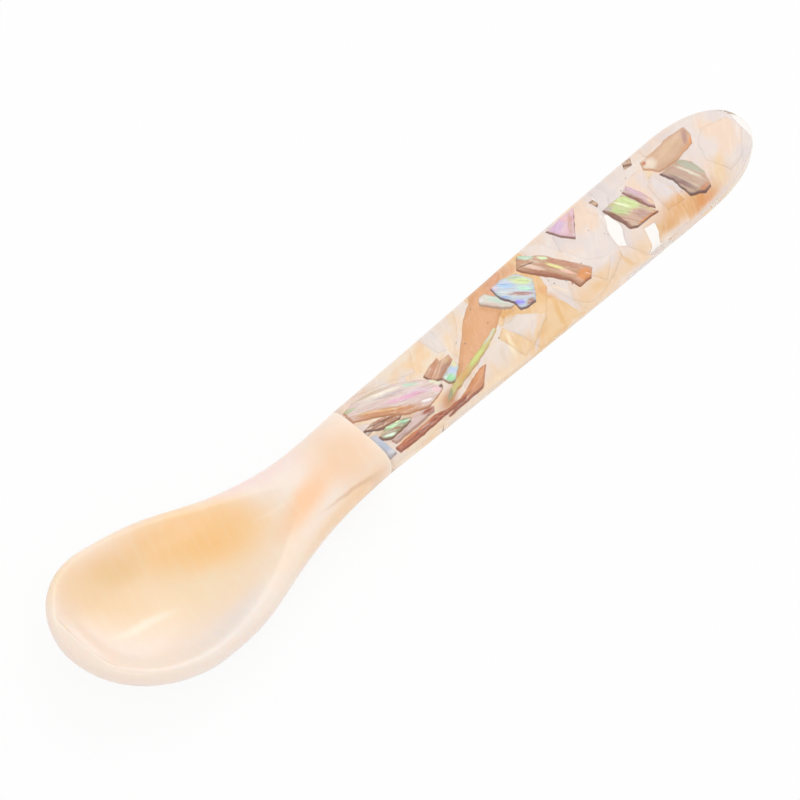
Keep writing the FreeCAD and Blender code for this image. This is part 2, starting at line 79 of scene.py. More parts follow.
def smooth_line(places, values):
    """A natural cubic spline through the values, as a function of the place."""
    places, values = np.array(places, float), np.array(values, float)
    count, gap = len(places), np.diff(places)
    system, right = np.zeros((count, count)), np.zeros(count)
    system[0, 0] = system[-1, -1] = 1.0
    for i in range(1, count - 1):
        system[i, i - 1:i + 2] = gap[i - 1], 2 * (gap[i - 1] + gap[i]), gap[i]
        right[i] = 6 * ((values[i + 1] - values[i]) / gap[i] - (values[i] - values[i - 1]) / gap[i - 1])
    bend = np.linalg.solve(system, right)

    def at(place):
        i = int(np.clip(np.searchsorted(places, place) - 1, 0, count - 2))
        before, after, step = places[i + 1] - place, place - places[i], gap[i]
        return (bend[i] * before ** 3 + bend[i + 1] * after ** 3) / (6 * step) \
            + (values[i] / step - bend[i] * step / 6) * before \
            + (values[i + 1] / step - bend[i + 1] * step / 6) * after
    return at


def smooth_columns(table):
    """A smooth line through each column of a table, along its first column."""
    places, *columns = zip(*table)
    return [smooth_line(places, column) for column in columns]


def blend(share, value, at_joint):
    """The value where the share is 1, turning into the joint's own where it is 0."""
    return value * share + at_joint * (1 - share)


def ring(half_width, up, down, square, first, last, count):
    """Points of a closed smooth section with eight poles, from one of its knots to another."""
    side = 1.5 - 0.5 * square
    poles = np.array([
        (side * half_width, 0), (square * half_width, square * up), (0, side * up),
        (-square * half_width, square * up), (-side * half_width, 0),
        (-square * half_width, -square * down), (0, -side * down),
        (square * half_width, -square * down)])
    place = np.linspace(first, last, count)
    knot = np.floor(place).astype(int)
    t = place - knot
    weights = ((1 - t) ** 3 / 6, (3 * t ** 3 - 6 * t ** 2 + 4) / 6,
               (-3 * t ** 3 + 3 * t ** 2 + 3 * t + 1) / 6, t ** 3 / 6)
    return sum(weight[:, None] * poles[(knot - 1 + k) % 8] for k, weight in enumerate(weights))


def even_out(points, count):
    """The same line in this many even steps, without its last point, which the next line has."""
    run = np.concatenate([[0], np.cumsum(np.hypot(*np.diff(points, axis=0).T))])
    wanted = np.linspace(0, run[-1], count, endpoint=False)
    return np.stack([np.interp(wanted, run, points[:, 0]), np.interp(wanted, run, points[:, 1])], 1)


def rounded_end(position, length, power=2.0):
    """Height, from 0 to 1, of a rounded end of this length, at a position from its tip."""
    left = min(max(1 - position / length, 0.0), 1.0)
    return max(1 - left ** power, 0.0) ** (1 / power)


def close_at_joint(section, start):
    """Rings from this distance off the glue joint to the joint itself, with the corner broken."""
    near = math.copysign(0.05, start)
    return [[(x, y * share, JOINT_MIDDLE + (z - JOINT_MIDDLE) * share) for _, y, z in section]
            for x, share in ((start, 1.0), (near, 0.996), (0.0, 0.985))]


# Shares of the bowl's length, from its tip: where it is widest, and where it is deepest.
WIDEST = 0.262
DEEPEST = 0.335
# How full the tip is in side view, and the depth that it has at its very end, as a place.
KEEL_POWER = 2.3
KEEL_START = 0.004
# The lip thins over the part of the tip that is narrower than this share of the bowl's width.
THIN_TIP = 0.5
# The lip rises along this power of the distance to the joint.
LIP_POWER = 1.7
# Share of the lean that is gone where the bowl is widest.
LEAN_LOST = 0.45
# The neck's smooth lines also run through these places on the nose.
NOSE_PLACES = (0.14, 0.2, WIDEST)
# The neck's squareness turns from the bowl's to the handle's from this place to the joint.
SQUARE_TURN = 0.5
# Each section of the hollow is widest this share of its depth above the lip, where a depth counts as
# at least this share of the hollow's own, and it is this much wider there.
HOLLOW_HOVER = 0.85
LEAST_HOVER = 0.12
HOLLOW_SPREAD = 1.12
# The hollow is eased into the lip over this reach, or this share of its height above the lip.
LIP_EASE = 1.4
SHALLOW_EASE = 0.95
# Rings up to the widest place and from there to the joint, and points over and under each ring.
NOSE_RINGS = 84
NECK_RINGS = 120
POINTS_OVER = 149
POINTS_UNDER = 75
# Place, share of the bowl's width, of its height under and over the widest line, of the widest
# line's own height, and of the lean.
NECK = (
    (0.335, 0.965, 0.99, 1.00, 1.00, 0.38),
    (0.445, 0.820, 0.74, 0.90, 0.75, 0.02),
    (0.555, 0.530, 0.47, 0.80, 0.52, -0.28),
    (0.665, 0.260, 0.22, 0.60, 0.33, -0.36),
    (0.800, 0.055, 0.06, 0.30, 0.16, -0.30),
    (0.900, 0.005, 0.00, 0.10, 0.06, -0.14),
    (1.000, 0.000, 0.00, 0.00, 0.00, 0.00),
)
# Place, share of the hollow's width, of its depth, and of the lean.
HOLLOW = (
    (0.036, 0.230, -0.06, 0.98),
    (0.043, 0.370, 0.22, 0.98),
    (0.062, 0.530, 0.42, 0.97),
    (0.100, 0.730, 0.66, 0.95),
    (0.160, 0.910, 0.87, 0.86),
    (0.230, 0.990, 0.98, 0.68),
    (0.300, 0.985, 1.00, 0.47),
    (0.380, 0.910, 0.92, 0.22),
    (0.460, 0.780, 0.74, 0.02),
    (0.540, 0.610, 0.50, -0.15),
    (0.620, 0.430, 0.26, -0.20),
    (0.700, 0.260, 0.07, -0.20),
    (0.760, 0.130, -0.06, -0.15),
)


def lip_share(position):
    """Share of its rise that the lip has gained at a position from the bowl's tip."""
    deepest = (1 - DEEPEST) ** LIP_POWER
    return ((1 - position) ** LIP_POWER - deepest) / (1 - deepest)


def bowl_nose(position):
    """Half width, height up and down, middle and lean of the bowl in front of its widest place."""
    wide = rounded_end(position, WIDEST)
    deep = rounded_end(position + KEEL_START, DEEPEST, KEEL_POWER)
    return (HALF_BOWL_WIDTH * wide, HALF_LIP * min(1.0, wide / THIN_TIP), BOWL_HEIGHT * deep,
            BOWL_HEIGHT + LIP_RISE * lip_share(position), 1.0 - LEAN_LOST * (position / WIDEST) ** 3)


def bowl_neck(wide, deep, crown, middle, lean):
    """The same five values in a row of the neck."""
    return (blend(wide, HALF_BOWL_WIDTH, HALF_JOINT), blend(crown, HALF_LIP, HALF_JOINT_THICK),
            blend(deep, BOWL_HEIGHT, HALF_JOINT_THICK), blend(middle, BOWL_HEIGHT, JOINT_MIDDLE), lean)


def dip(outer, floor, reach):
    """The lower of two heights, eased into each other over this reach."""
    share = np.clip(0.5 + 0.5 * (floor - outer) / reach, 0, 1)
    return floor * (1 - share) + outer * share - reach * share * (1 - share)


def skin(name, rings):
    """A closed mesh through rings of points, with a fan of faces over each end."""
    mesh = bmesh.new()
    rows = [[mesh.verts.new(point) for point in to_metres(points)] for points in rings]
    for left, right in zip(rows, rows[1:]):
        for i in range(len(left)):
            j = (i + 1) % len(left)
            mesh.faces.new((left[i], left[j], right[j], right[i]))
    for row in (rows[0], rows[-1]):
        middle = mesh.verts.new(sum((vert.co for vert in row), Vector()) / len(row))
        for i in range(len(row)):
            mesh.faces.new((row[i], row[(i + 1) % len(row)], middle))
    return finish_mesh(name, mesh)


def finish_mesh(name, mesh):
    """A smooth piece from this mesh, with its faces turned outwards."""
    bmesh.ops.recalc_face_normals(mesh, faces=mesh.faces)
    data = bpy.data.meshes.new(name)
    mesh.to_mesh(data)
    mesh.free()
    for face in data.polygons:
        face.use_smooth = True
    piece = bpy.data.objects.new(name, data)
    bpy.context.scene.collection.objects.link(piece)
    return piece


def carve_bowl():
    """The scoop and its neck: one skin, dished by the hollow and softened along the lip."""
    neck = smooth_columns([(place, *bowl_nose(place)) for place in NOSE_PLACES]
                          + [(place, *bowl_neck(*shares)) for place, *shares in NECK])
    dish = smooth_columns(HOLLOW)
    stations = [WIDEST * (1 - math.cos(u * math.pi / 2)) for u in np.linspace(0.02, 1, NOSE_RINGS)]
    stations += list(np.linspace(WIDEST, 1.0, NECK_RINGS))[1:]
    rings = []
    for place in stations:
        half, up, down, middle, lean = bowl_nose(place) if place <= WIDEST else [line(place) for line in neck]
        turned = max(0.0, place - SQUARE_TURN) / (1 - SQUARE_TURN)
        square = BOWL_SQUARE + (HANDLE_SQUARE - BOWL_SQUARE) * turned
        top = ring(half, up, down, square, 0, 4, 900) + (BOWL_LEAN * lean, middle)
        bottom = ring(half, up, down, square, 4, 8, 300) + (BOWL_LEAN * lean, middle)
        if HOLLOW[0][0] < place < HOLLOW[-1][0]:
            wide, deep, aside = (line(place) for line in dish)
            hover = HOLLOW_DEPTH * HOLLOW_HOVER * max(deep, LEAST_HOVER)
            reach = (HALF_BOWL_WIDTH - LIP_MARGIN) * wide * HOLLOW_SPREAD
            floor = ring(reach, hover, hover + HOLLOW_DEPTH * deep, HOLLOW_SQUARE, 4, 8, 400) \
                + (BOWL_LEAN * aside, middle + up + hover)
            across = np.interp(top[:, 0], floor[:, 0], floor[:, 1], left=99.0, right=99.0)
            top[:, 1] = dip(top[:, 1], across, min(LIP_EASE, SHALLOW_EASE * hover))
        loop = np.concatenate([even_out(top, POINTS_OVER), even_out(bottom, POINTS_UNDER)])
        rings.append([(-BOWL_LENGTH * (1 - place), y, z) for y, z in loop])
    rings[-1:] = close_at_joint(rings[-1], -0.12)
    return skin("carved_bowl", rings)


# Place along the shaft from the joint, share of the handle's own width, of its own thickness, and
# of the joint's rise that is kept.
SHAFT = (
    (0.00, 0.00, 0.00, 1.00),
    (0.14, 0.14, 0.30, 0.50),
    (0.28, 0.28, 0.58, 0.22),
    (0.42, 0.45, 0.80, 0.08),
    (0.56, 0.68, 0.94, 0.02),
    (0.69, 0.88, 1.00, 0.00),
    (0.80, 0.97, 1.00, 0.00),
    (0.91, 1.00, 1.00, 0.00),
    (1.00, 1.00, 1.00, 0.00),
)
SHAFT_LENGTH = HANDLE_LENGTH - NOSE_LENGTH
SHAFT_LINES = smooth_columns(SHAFT)
# How full the nose is in plan, and the power of its width that its thickness follows.
NOSE_POWER = 2.15
NOSE_THINNING = 0.8
# Rings along the shaft and round the nose, and points in each ring.
SHAFT_RINGS = 110
TIP_RINGS = 60
POINTS_ROUND = 160


def casting_section(x):
    """Half width, half thickness and middle height of the handle at this distance from the joint."""
    if x <= SHAFT_LENGTH:
        wide, thick, kept = (line(max(x, 0.0) / SHAFT_LENGTH) for line in SHAFT_LINES)
        half_thick = blend(thick, HALF_HANDLE_THICK, HALF_JOINT_THICK)
        return blend(wide, HALF_HANDLE, HALF_JOINT), half_thick, half_thick + JOINT_RISE * kept
    reach = min((x - SHAFT_LENGTH) / NOSE_LENGTH, 1.0)
    share = (1 - reach ** NOSE_POWER) ** (1 / NOSE_POWER)
    return HALF_HANDLE * share, HALF_HANDLE_THICK * share ** NOSE_THINNING, HALF_HANDLE_THICK


def cast_handle():
    """The clear casting's polished outside."""
    angles = np.linspace(0, math.pi / 2, TIP_RINGS)[1:-1]
    stations = list(np.linspace(0, SHAFT_LENGTH, SHAFT_RINGS))
    stations += [SHAFT_LENGTH + NOSE_LENGTH * math.sin(angle) for angle in angles]
    rings = []
    for x in stations:
        half, thick, middle = casting_section(x)
        loop = even_out(ring(half, thick, thick, HANDLE_SQUARE, 0, 8, 1200), POINTS_ROUND)
        rings.append([(x, y, middle + z) for y, z in loop])
    rings[:1] = reversed(close_at_joint(rings[0], 0.14))
    return skin("handle_casting", rings)


# The casting's section for a half width and half thickness of 1, from its side to its top's middle.
QUARTER_SECTION = ring(1.0, 1.0, 1.0, HANDLE_SQUARE, 2, 4, 200)[::-1]
# How far shell keeps off the joint and the tip, and the least half width and thickness for it.
OFF_JOINT = 0.3
OFF_TIP = 0.6
LEAST_ROOM = 0.2


def keep_in_plan(x, y):
    """Hold a point of a shell piece inside the casting's outline."""
    x = min(max(x, OFF_JOINT), HANDLE_LENGTH - OFF_TIP)
    half = max(casting_section(x)[0] - COVER, LEAST_ROOM) * 0.985
    return x, min(max(y, -half), half)


def headroom(x, y):
    """The casting's middle height here, and the room for shell above and below it."""
    half, thick, middle = casting_section(x)
    half, thick = max(half - COVER, LEAST_ROOM), max(thick - COVER, LEAST_ROOM)
    return middle, thick * float(np.interp(-abs(y) / half, QUARTER_SECTION[:, 0], QUARTER_SECTION[:, 1]))


# The height of each layer of shell, as a share of the handle's thickness from its back.
LAYERS = {"back": 0.155, "deep": 0.290, "low": 0.420, "middle": 0.550, "high": 0.700, "face": 0.860}

# Name, layer, direction of the long side, tilt about it, and the outline, as the casting holds it.
ABALONE = (
    ("blade", "face", -4, 2, ((56.7, 2.8), (57.2, 3.9), (59.4, 3.9), (62.9, 4.2), (65.4, 3.8), (65.3, 2.4),
                              (64.5, 1.2), (60.9, 0.7), (58.1, 1.1))),
    ("curved", "high", -72, -2, ((58.1, 1.1), (61.6, 1.2), (62.7, -0.4), (62.8, -2.6), (61.9, -4.7),
                                 (60.7, -4.9), (58.8, -3.9), (58.7, -2.4), (58.8, -0.7))),
    ("diamond", "face", -60, 3, ((48.1, 2.0), (51.8, 2.1), (52.8, -1.6), (53.5, -3.3), (49.8, -3.0),
                                 (48.9, -2.4))),
    ("strip", "high", -75, -3, ((52.4, 2.6), (53.6, 3.0), (54.3, 1.0), (54.6, -1.1), (54.0, -2.2),
                                (53.4, -1.4))),
    ("triangle", "high", 20, 2, ((40.8, 5.3), (46.2, 5.4), (42.9, 1.9), (41.6, 3.4))),
    ("long", "face", -66, 3, ((34.9, 5.2), (37.5, 2.5), (38.7, 0.4), (40.1, -1.9), (40.8, -3.3), (39.6, -4.3),
                              (37.5, -4.2), (37.2, -2.6), (35.7, -0.2), (34.3, 1.7), (33.3, 3.6))),
    ("blue", "face", -50, -3, ((28.6, 3.9), (30.5, 4.1), (32.8, 3.4), (33.9, 1.2), (32.5, -0.8), (31.6, -1.8),
                               (30.1, -1.7), (29.2, -1.2), (29.3, 0.1), (28.4, 2.0))),
    ("pale", "high", -60, 2, ((26.1, 3.5), (26.9, 4.3), (27.9, 4.2), (28.9, 2.4), (30.2, 0.3), (28.9, 0.1),
                              (27.9, 1.0))),
    ("broad", "middle", 24, -1, ((12.9, -3.8), (14.6, -2.5), (17.9, -0.6), (21.1, 1.9), (23.3, 3.8),
                                 (26.6, 5.4), (32.0, 5.4), (28.2, 1.3), (24.2, -0.9), (18.8, -2.3),
                                 (15.6, -3.1))),
    ("ribbon", "high", 12, 2, ((12.1, -4.2), (13.9, -3.0), (16.4, -2.4), (19.0, -1.9), (21.2, -1.4),
                               (25.0, -0.3), (25.0, -0.8), (21.3, -2.2), (19.0, -2.8), (16.3, -3.3),
                               (13.8, -3.9))),
    ("brown", "middle", 12, 1, ((11.3, -5.0), (14.2, -4.3), (16.6, -3.7), (19.3, -3.0), (20.5, -3.1),
                                (19.1, -4.0), (17.9, -4.8), (14.9, -5.1))),
    ("mint", "face", 15, -3, ((13.8, -1.6), (15.7, -0.9), (17.0, -0.5), (16.8, -1.8), (14.8, -3.1),
                              (14.0, -2.7))),
    ("notch", "high", 25, 4, ((12.6, 0.8), (14.4, 1.5), (16.0, 1.7), (15.9, 1.0), (17.6, 0.9), (17.4, 0.1),
                              (16.2, -0.6), (14.3, -1.3), (13.0, -0.7))),
    ("lance", "face", -25, 4, ((0.4, 3.9), (2.3, 4.3), (5.6, 3.7), (8.5, 2.6), (11.2, 0.8), (12.6, -0.6),
                               (13.3, -1.9), (13.0, -2.6), (11.4, -3.1), (9.7, -3.4), (6.9, -2.3),
                               (4.7, -0.5), (2.1, 1.0), (0.4, 2.0))),
    ("lump", "face", -12, -3, ((1.1, -2.2), (3.0, -1.6), (4.8, -2.0), (6.5, -2.9), (6.1, -3.3), (4.1, -3.5),
                               (2.2, -3.5), (1.2, -2.8))),
    ("root", "high", -14, 3, ((0.6, 0.3), (2.6, 0.5), (4.3, 0.0), (6.4, -1.3), (5.6, -1.6), (3.3, -1.3),
                              (2.1, -0.8))),
    ("red", "high", -2, 2, ((2.0, -4.3), (5.0, -4.3), (9.5, -4.3), (11.4, -4.8), (14.8, -4.9), (14.6, -5.3),
                            (9.5, -5.3), (4.0, -5.3), (2.2, -5.1))),
    ("mauve", "high", -6, -2, ((2.4, -3.2), (4.6, -3.2), (7.2, -2.5), (9.0, -2.8), (10.5, -3.3), (9.9, -3.9),
                               (6.0, -3.9), (2.6, -3.9))),
    ("collar", "high", -88, 0, ((0.4, -0.8), (1.5, -1.2), (1.6, -4.9), (0.4, -4.9))),
    ("wedge", "middle", -35, 1, ((0.4, 2.4), (3.9, 0.0), (0.8, -0.2))),
    ("under_blade", "back", 40, 2, ((7.0, -1.8), (12.0, 2.4), (15.0, 1.8), (10.0, -2.8))),
    ("under_leaf", "back", -8, -2, ((24.0, 2.8), (31.0, 3.0), (30.0, 0.8), (25.5, 0.3))),
    ("under_shard", "back", 20, 2, ((37.0, -3.2), (43.0, -1.2), (42.0, 1.0), (36.0, -0.8))),
    ("under_tip", "back", -35, -2, ((56.0, 1.0), (61.0, -2.5), (62.5, -0.4), (58.0, 2.6))),
)
# The flake's colour, then layer, direction, tilt and outline.
PEARL = (
    ("rose", "middle", 10, 1, ((1.0, 3.0), (0.6, 6.0), (9.0, 6.2), (12.0, 3.2), (8.4, 0.8), (4.6, 0.6))),
    ("cream", "middle", -10, -1, ((0.6, -5.9), (0.9, -0.8), (7.0, -0.2), (10.6, -2.6), (10.0, -6.0))),
    ("cream", "middle", 25, 1, ((9.4, 0.6), (12.6, 3.2), (13.4, 6.3), (24.3, 6.3), (20.6, 2.2), (16.8, -0.3),
                                (11.6, -2.2))),
    ("amber", "middle", 35, -1, ((24.6, -1.6), (29.0, 0.8), (33.0, 5.9), (36.4, 6.3), (35.0, -0.5),
                                 (31.5, -3.6), (25.5, -5.6))),
    ("rose", "middle", 60, 1, ((46.6, 6.0), (48.0, 2.4), (47.1, 0.0), (46.4, -2.6), (46.0, -3.6),
                               (38.2, -6.3), (36.2, -3.9), (39.6, 1.2), (42.0, 5.9))),
    ("rose", "middle", 80, -1, ((50.9, 3.8), (49.0, 1.8), (49.1, -0.3), (47.4, -3.1), (48.8, -5.8),
                                (50.0, -5.0), (50.9, -2.9), (52.9, -3.1), (51.2, -5.4), (52.0, -6.2),
                                (56.5, -6.2), (58.5, -1.0), (57.0, 3.9))),
    ("rose", "middle", -80, 1, ((59.0, 5.9), (60.2, 0.0), (58.6, -6.0), (66.6, -5.8), (71.4, -3.0),
                                (71.9, 1.2), (71.8, 2.3), (70.6, 3.8), (67.6, 5.6))),
    ("rose", "high", 40, -1, ((18.8, 5.6), (18.0, 1.6), (16.8, 2.1), (16.2, 5.6))),
    ("cream", "high", -20, 1, ((2.0, 5.6), (8.4, 3.6), (12.4, 2.2), (14.8, 5.7))),
    ("rose", "high", -45, 1, ((25.8, -1.1), (28.6, -1.0), (31.6, -3.6), (27.4, -5.6))),
    ("rose", "high", -60, -1, ((36.2, 5.8), (38.6, 5.0), (41.6, -1.6), (44.4, -3.2), (41.4, -5.4),
                               (36.0, 2.6))),
    ("rose", "high", 70, 1, ((55.0, -3.6), (55.6, 1.0), (57.4, 1.8), (57.8, -3.8))),
    ("rose", "high", -70, -1, ((67.2, 2.4), (65.2, 1.0), (64.3, -1.5), (65.6, -4.8), (68.4, -4.2),
                               (71.4, -1.2), (71.2, 1.4))),
    ("cream", "low", 85, 1, ((0.8, -3.8), (1.0, 3.6), (6.0, 5.6), (9.4, -5.6))),
    ("cream", "low", -70, -1, ((10.6, -5.8), (7.2, 5.6), (15.6, 6.1), (17.6, 0.5), (15.0, -5.9))),
    ("cream", "low", 75, 1, ((16.4, -5.8), (18.8, 0.6), (16.8, 6.1), (25.8, 6.2), (27.0, -6.0))),
    ("amber", "low", -80, 1, ((28.4, -6.0), (27.2, 6.1), (36.0, 6.2), (34.4, -1.0), (36.6, -6.1))),
    ("rose", "low", 80, -1, ((37.8, -6.2), (35.8, -1.2), (37.4, 6.2), (50.2, 6.2), (48.7, 2.3), (47.5, 0.4),
                             (46.8, -2.2), (47.7, -2.9), (49.7, -6.1))),
    ("rose", "low", -75, 1, ((53.2, -6.2), (53.6, -2.4), (51.2, 0.5), (51.4, 6.1), (60.2, 6.2), (61.4, -2.0),
                              (60.4, -6.1))),
    ("cream", "low", 70, -1, ((62.0, -5.9), (62.8, -1.5), (61.6, 5.9), (68.2, 5.4), (70.7, 3.6),
                              (71.7, 2.0), (71.8, 0.0), (68.6, -5.4))),
    ("cream", "deep", -85, 1, ((1.2, -5.2), (1.0, 5.2), (10.6, 5.6), (12.4, -1.0), (9.6, -5.4))),
    ("cream", "deep", 70, -1, ((11.2, -5.6), (14.0, -0.5), (12.2, 5.8), (21.0, 6.0), (22.8, -1.2),
                               (20.4, -5.8))),
    ("amber", "deep", -70, 1, ((21.8, -5.9), (24.4, -1.0), (22.6, 6.0), (32.0, 6.0), (31.0, -5.9))),
    ("rose", "deep", 85, 1, ((32.4, -5.9), (33.4, 6.0), (45.6, 6.0), (46.6, 1.5), (44.6, -5.9))),
    ("cream", "deep", -80, -1, ((53.6, -5.9), (53.8, -2.4), (53.4, 5.9), (62.0, 5.9), (61.0, -5.9))),
    ("cream", "deep", 80, 1, ((62.4, -5.5), (63.4, 5.5), (69.6, 3.2), (70.8, -2.6))),
    ("cream", "back", 60, 1, ((16.0, -3.2), (17.0, 3.4), (22.0, 3.4), (21.0, -3.4))),
    ("cream", "back", -70, -1, ((32.0, -3.4), (31.6, 3.4), (36.6, 3.2), (34.6, -0.6), (35.6, -3.4))),
    ("rose", "back", 75, 1, ((44.4, -3.4), (43.6, 2.4), (46.6, 3.4), (46.9, -3.4))),
    ("cream", "back", -60, -1, ((53.8, -3.4), (52.6, 3.2), (55.4, 2.4), (57.4, -3.2))),
)

# Splinters between the larger pieces: name, layer, finish and outline.
SPLINTERS = (
    ("pearl_splinter", "low", "rose", ((48.8, 2.5), (50.2, 6.0), (51.3, 6.0), (51.8, 3.6), (49.6, 2.0))),
    ("brown_splinter", "high", "crumbs", ((48.2, 4.6), (48.9, 4.5), (49.0, 3.6), (48.5, 3.3))),
    ("edge_splinter", "high", "crumbs", ((55.3, 4.9), (55.9, 5.7), (57.3, 5.6), (56.6, 4.7))),
)


def broken_edge(outline, step, wander, seed):
    """The outline with its sides divided and chipped a little, its corners kept."""
    points = []
    for (x1, y1), (x2, y2) in zip(outline, outline[1:] + outline[:1]):
        length = math.hypot(x2 - x1, y2 - y1)
        pieces = max(int(length / step), 1)
        for i in range(pieces):
            share = i / pieces
            x, y = x1 + (x2 - x1) * share, y1 + (y2 - y1) * share
            slack = wander * min(1.0, 4 * share * (1 - share) + 0.25)
            x += slack * noise.noise(Vector((x * 1.3, y * 1.3, seed)))
            y += slack * noise.noise(Vector((x * 1.3, y * 1.3, seed + 31.0)))
            points.append((x, y))
    return points


def sides_of(edge):
    """The outline's sides: both ends and the direction that faces outwards."""
    pairs = list(zip(edge, edge[1:] + edge[:1]))
    side = 1.0 if sum(x1 * y2 - x2 * y1 for (x1, y1), (x2, y2) in pairs) > 0 else -1.0
    sides = []
    for start, end in pairs:
        run = Vector(end) - Vector(start)
        sides.append((Vector(start), Vector(end), side * Vector((run.y, -run.x)).normalized()))
    return sides


def inset(edge, depth):
    """The outline's points moved inwards by this much."""
    outwards = [side[2] for side in sides_of(edge)]
    return [tuple(Vector(point) - (outwards[i - 1] + outwards[i]).normalized() * depth)
            for i, point in enumerate(edge)]


# Distance between the rows of a grid of equal triangles, as a share of their side.
ROW_SHARE = 0.87
# The shortest side in a shell piece's edge, and how far inside it its border row and its grid start.
SHORTEST_SIDE = 0.03
BORDER_DEPTH = 0.14
GRID_DEPTH = 0.26
# Added to the distance from a side that faces away from the viewer, where the edge isn't coloured.
FAR_SIDE = 0.45
# A piece's thickness at its edge, as a share, what that gains with each millimetre inside it, and the
# share of the headroom that half the piece may take.
EDGE_THICKNESS = 0.5
EDGE_SLOPE = 1.6
FULLEST = 0.45


def grid_inside(edge, step):
    """Points in staggered rows over the outline's box."""
    low_x, high_x = min(p[0] for p in edge), max(p[0] for p in edge)
    low_y, high_y = min(p[1] for p in edge), max(p[1] for p in edge)
    gap = step * ROW_SHARE
    points = []
    for row in range(int((high_y - low_y) / gap) + 1):
        first = low_x + (step / 2 if row % 2 else 0.0)
        points += [(first + step * k, low_y + gap * row) for k in range(int((high_x - first) / step) + 1)]
    return points


def distance_to_edge(point, sides, far_side=0.0):
    """Distance from the outline, with this much added for its sides that face away from the viewer."""
    best = 99.0
    for start, end, outwards in sides:
        share = geometry.intersect_point_line(point, start, end)[1]
        reach = (point - start.lerp(end, min(max(share, 0.0), 1.0))).length
        best = min(best, reach + far_side * (0.5 - 0.5 * outwards.dot(TOWARDS_VIEWER)))
    return best


def growth_waves(u, v, seed):
    """Waves drawn out along u: broad ones, and finer ones of half their height."""
    return noise.noise(Vector((u * 0.35, v * 1.5, seed))) \
        + 0.5 * noise.noise(Vector((u * 0.9, v * 3.4, seed + 7)))


def shell_piece(name, layer, heading, roll, outline, seed, thickness, curl, ripple, wander, step):
    """A broken piece of shell: curved across its heading, rippled, with a thin chipped edge.

    The attribute rim keeps each point's distance from the broken edge in millimetres, with
    FAR_SIDE added to it where the edge faces away from the viewer."""
    edge = [keep_in_plan(x, y) for x, y in broken_edge(list(outline), step, wander, seed)]
    edge = [point for i, point in enumerate(edge)
            if (Vector(point) - Vector(edge[i - 1])).length > SHORTEST_SIDE]
    sides = sides_of(edge)
    middle = sum((Vector(corner) for corner in outline), Vector((0.0, 0.0))) / len(outline)
    along = Vector((math.cos(math.radians(heading)), math.sin(math.radians(heading))))
    aside = Vector((-along.y, along.x))
    border = inset(edge, BORDER_DEPTH)
    grid = [p for p in grid_inside(edge, step) if distance_to_edge(Vector(p), sides) > GRID_DEPTH]
    points = [Vector(p) for p in edge + border + grid]
    borders = [(i, (i + 1) % len(edge)) for i in range(len(edge))]
    flat, _, faces, _, _, _ = geometry.delaunay_2d_cdt(points, borders, [list(range(len(edge)))], 1, 1e-5)
    base = HALF_HANDLE_THICK * 2 * LAYERS[layer]
    mesh = bmesh.new()
    rim = mesh.verts.layers.float.new("rim")
    top, under = {}, {}
    for i in sorted({i for face in faces for i in face}):
        p = Vector(flat[i][:2])
        u, v = (p - middle).dot(along), (p - middle).dot(aside)
        bow = math.sqrt(max(curl * curl - v * v, 0.0)) - curl
        z = base + bow + math.tan(math.radians(roll)) * v + ripple * growth_waves(u, v, seed)
        centre, space = headroom(p.x, p.y)
        swell = min(1.0, EDGE_THICKNESS + EDGE_SLOPE * distance_to_edge(p, sides))
        half = min(thickness / 2 * swell, FULLEST * space)
        z = min(max(z, centre - space + half), centre + space - half)
        over_and_under = to_metres([(p.x, p.y, z + half), (p.x, p.y, z - half)])
        top[i], under[i] = (mesh.verts.new(place) for place in over_and_under)
        top[i][rim] = under[i][rim] = distance_to_edge(p, sides, FAR_SIDE)
    used = set()
    for face in faces:
        mesh.faces.new([top[i] for i in face])
        mesh.faces.new([under[i] for i in reversed(face)])
        used.update(zip(face, face[1:] + face[:1]))
    for i, j in used:
        if (j, i) not in used:
            mesh.faces.new((top[j], top[i], under[i], under[j]))
    piece = finish_mesh(name, mesh)
    for face in piece.data.polygons:
        face.use_smooth = abs(face.normal.z) > 0.5
    return piece


def paint(red, green, blue):
    """A colour as it is seen, from 0 to 255, as the light value a shader takes."""
    def light(value):
        value /= 255
        return value / 12.92 if value <= 0.04045 else ((value + 0.055) / 1.055) ** 2.4
    return (light(red), light(green), light(blue), 1.0)


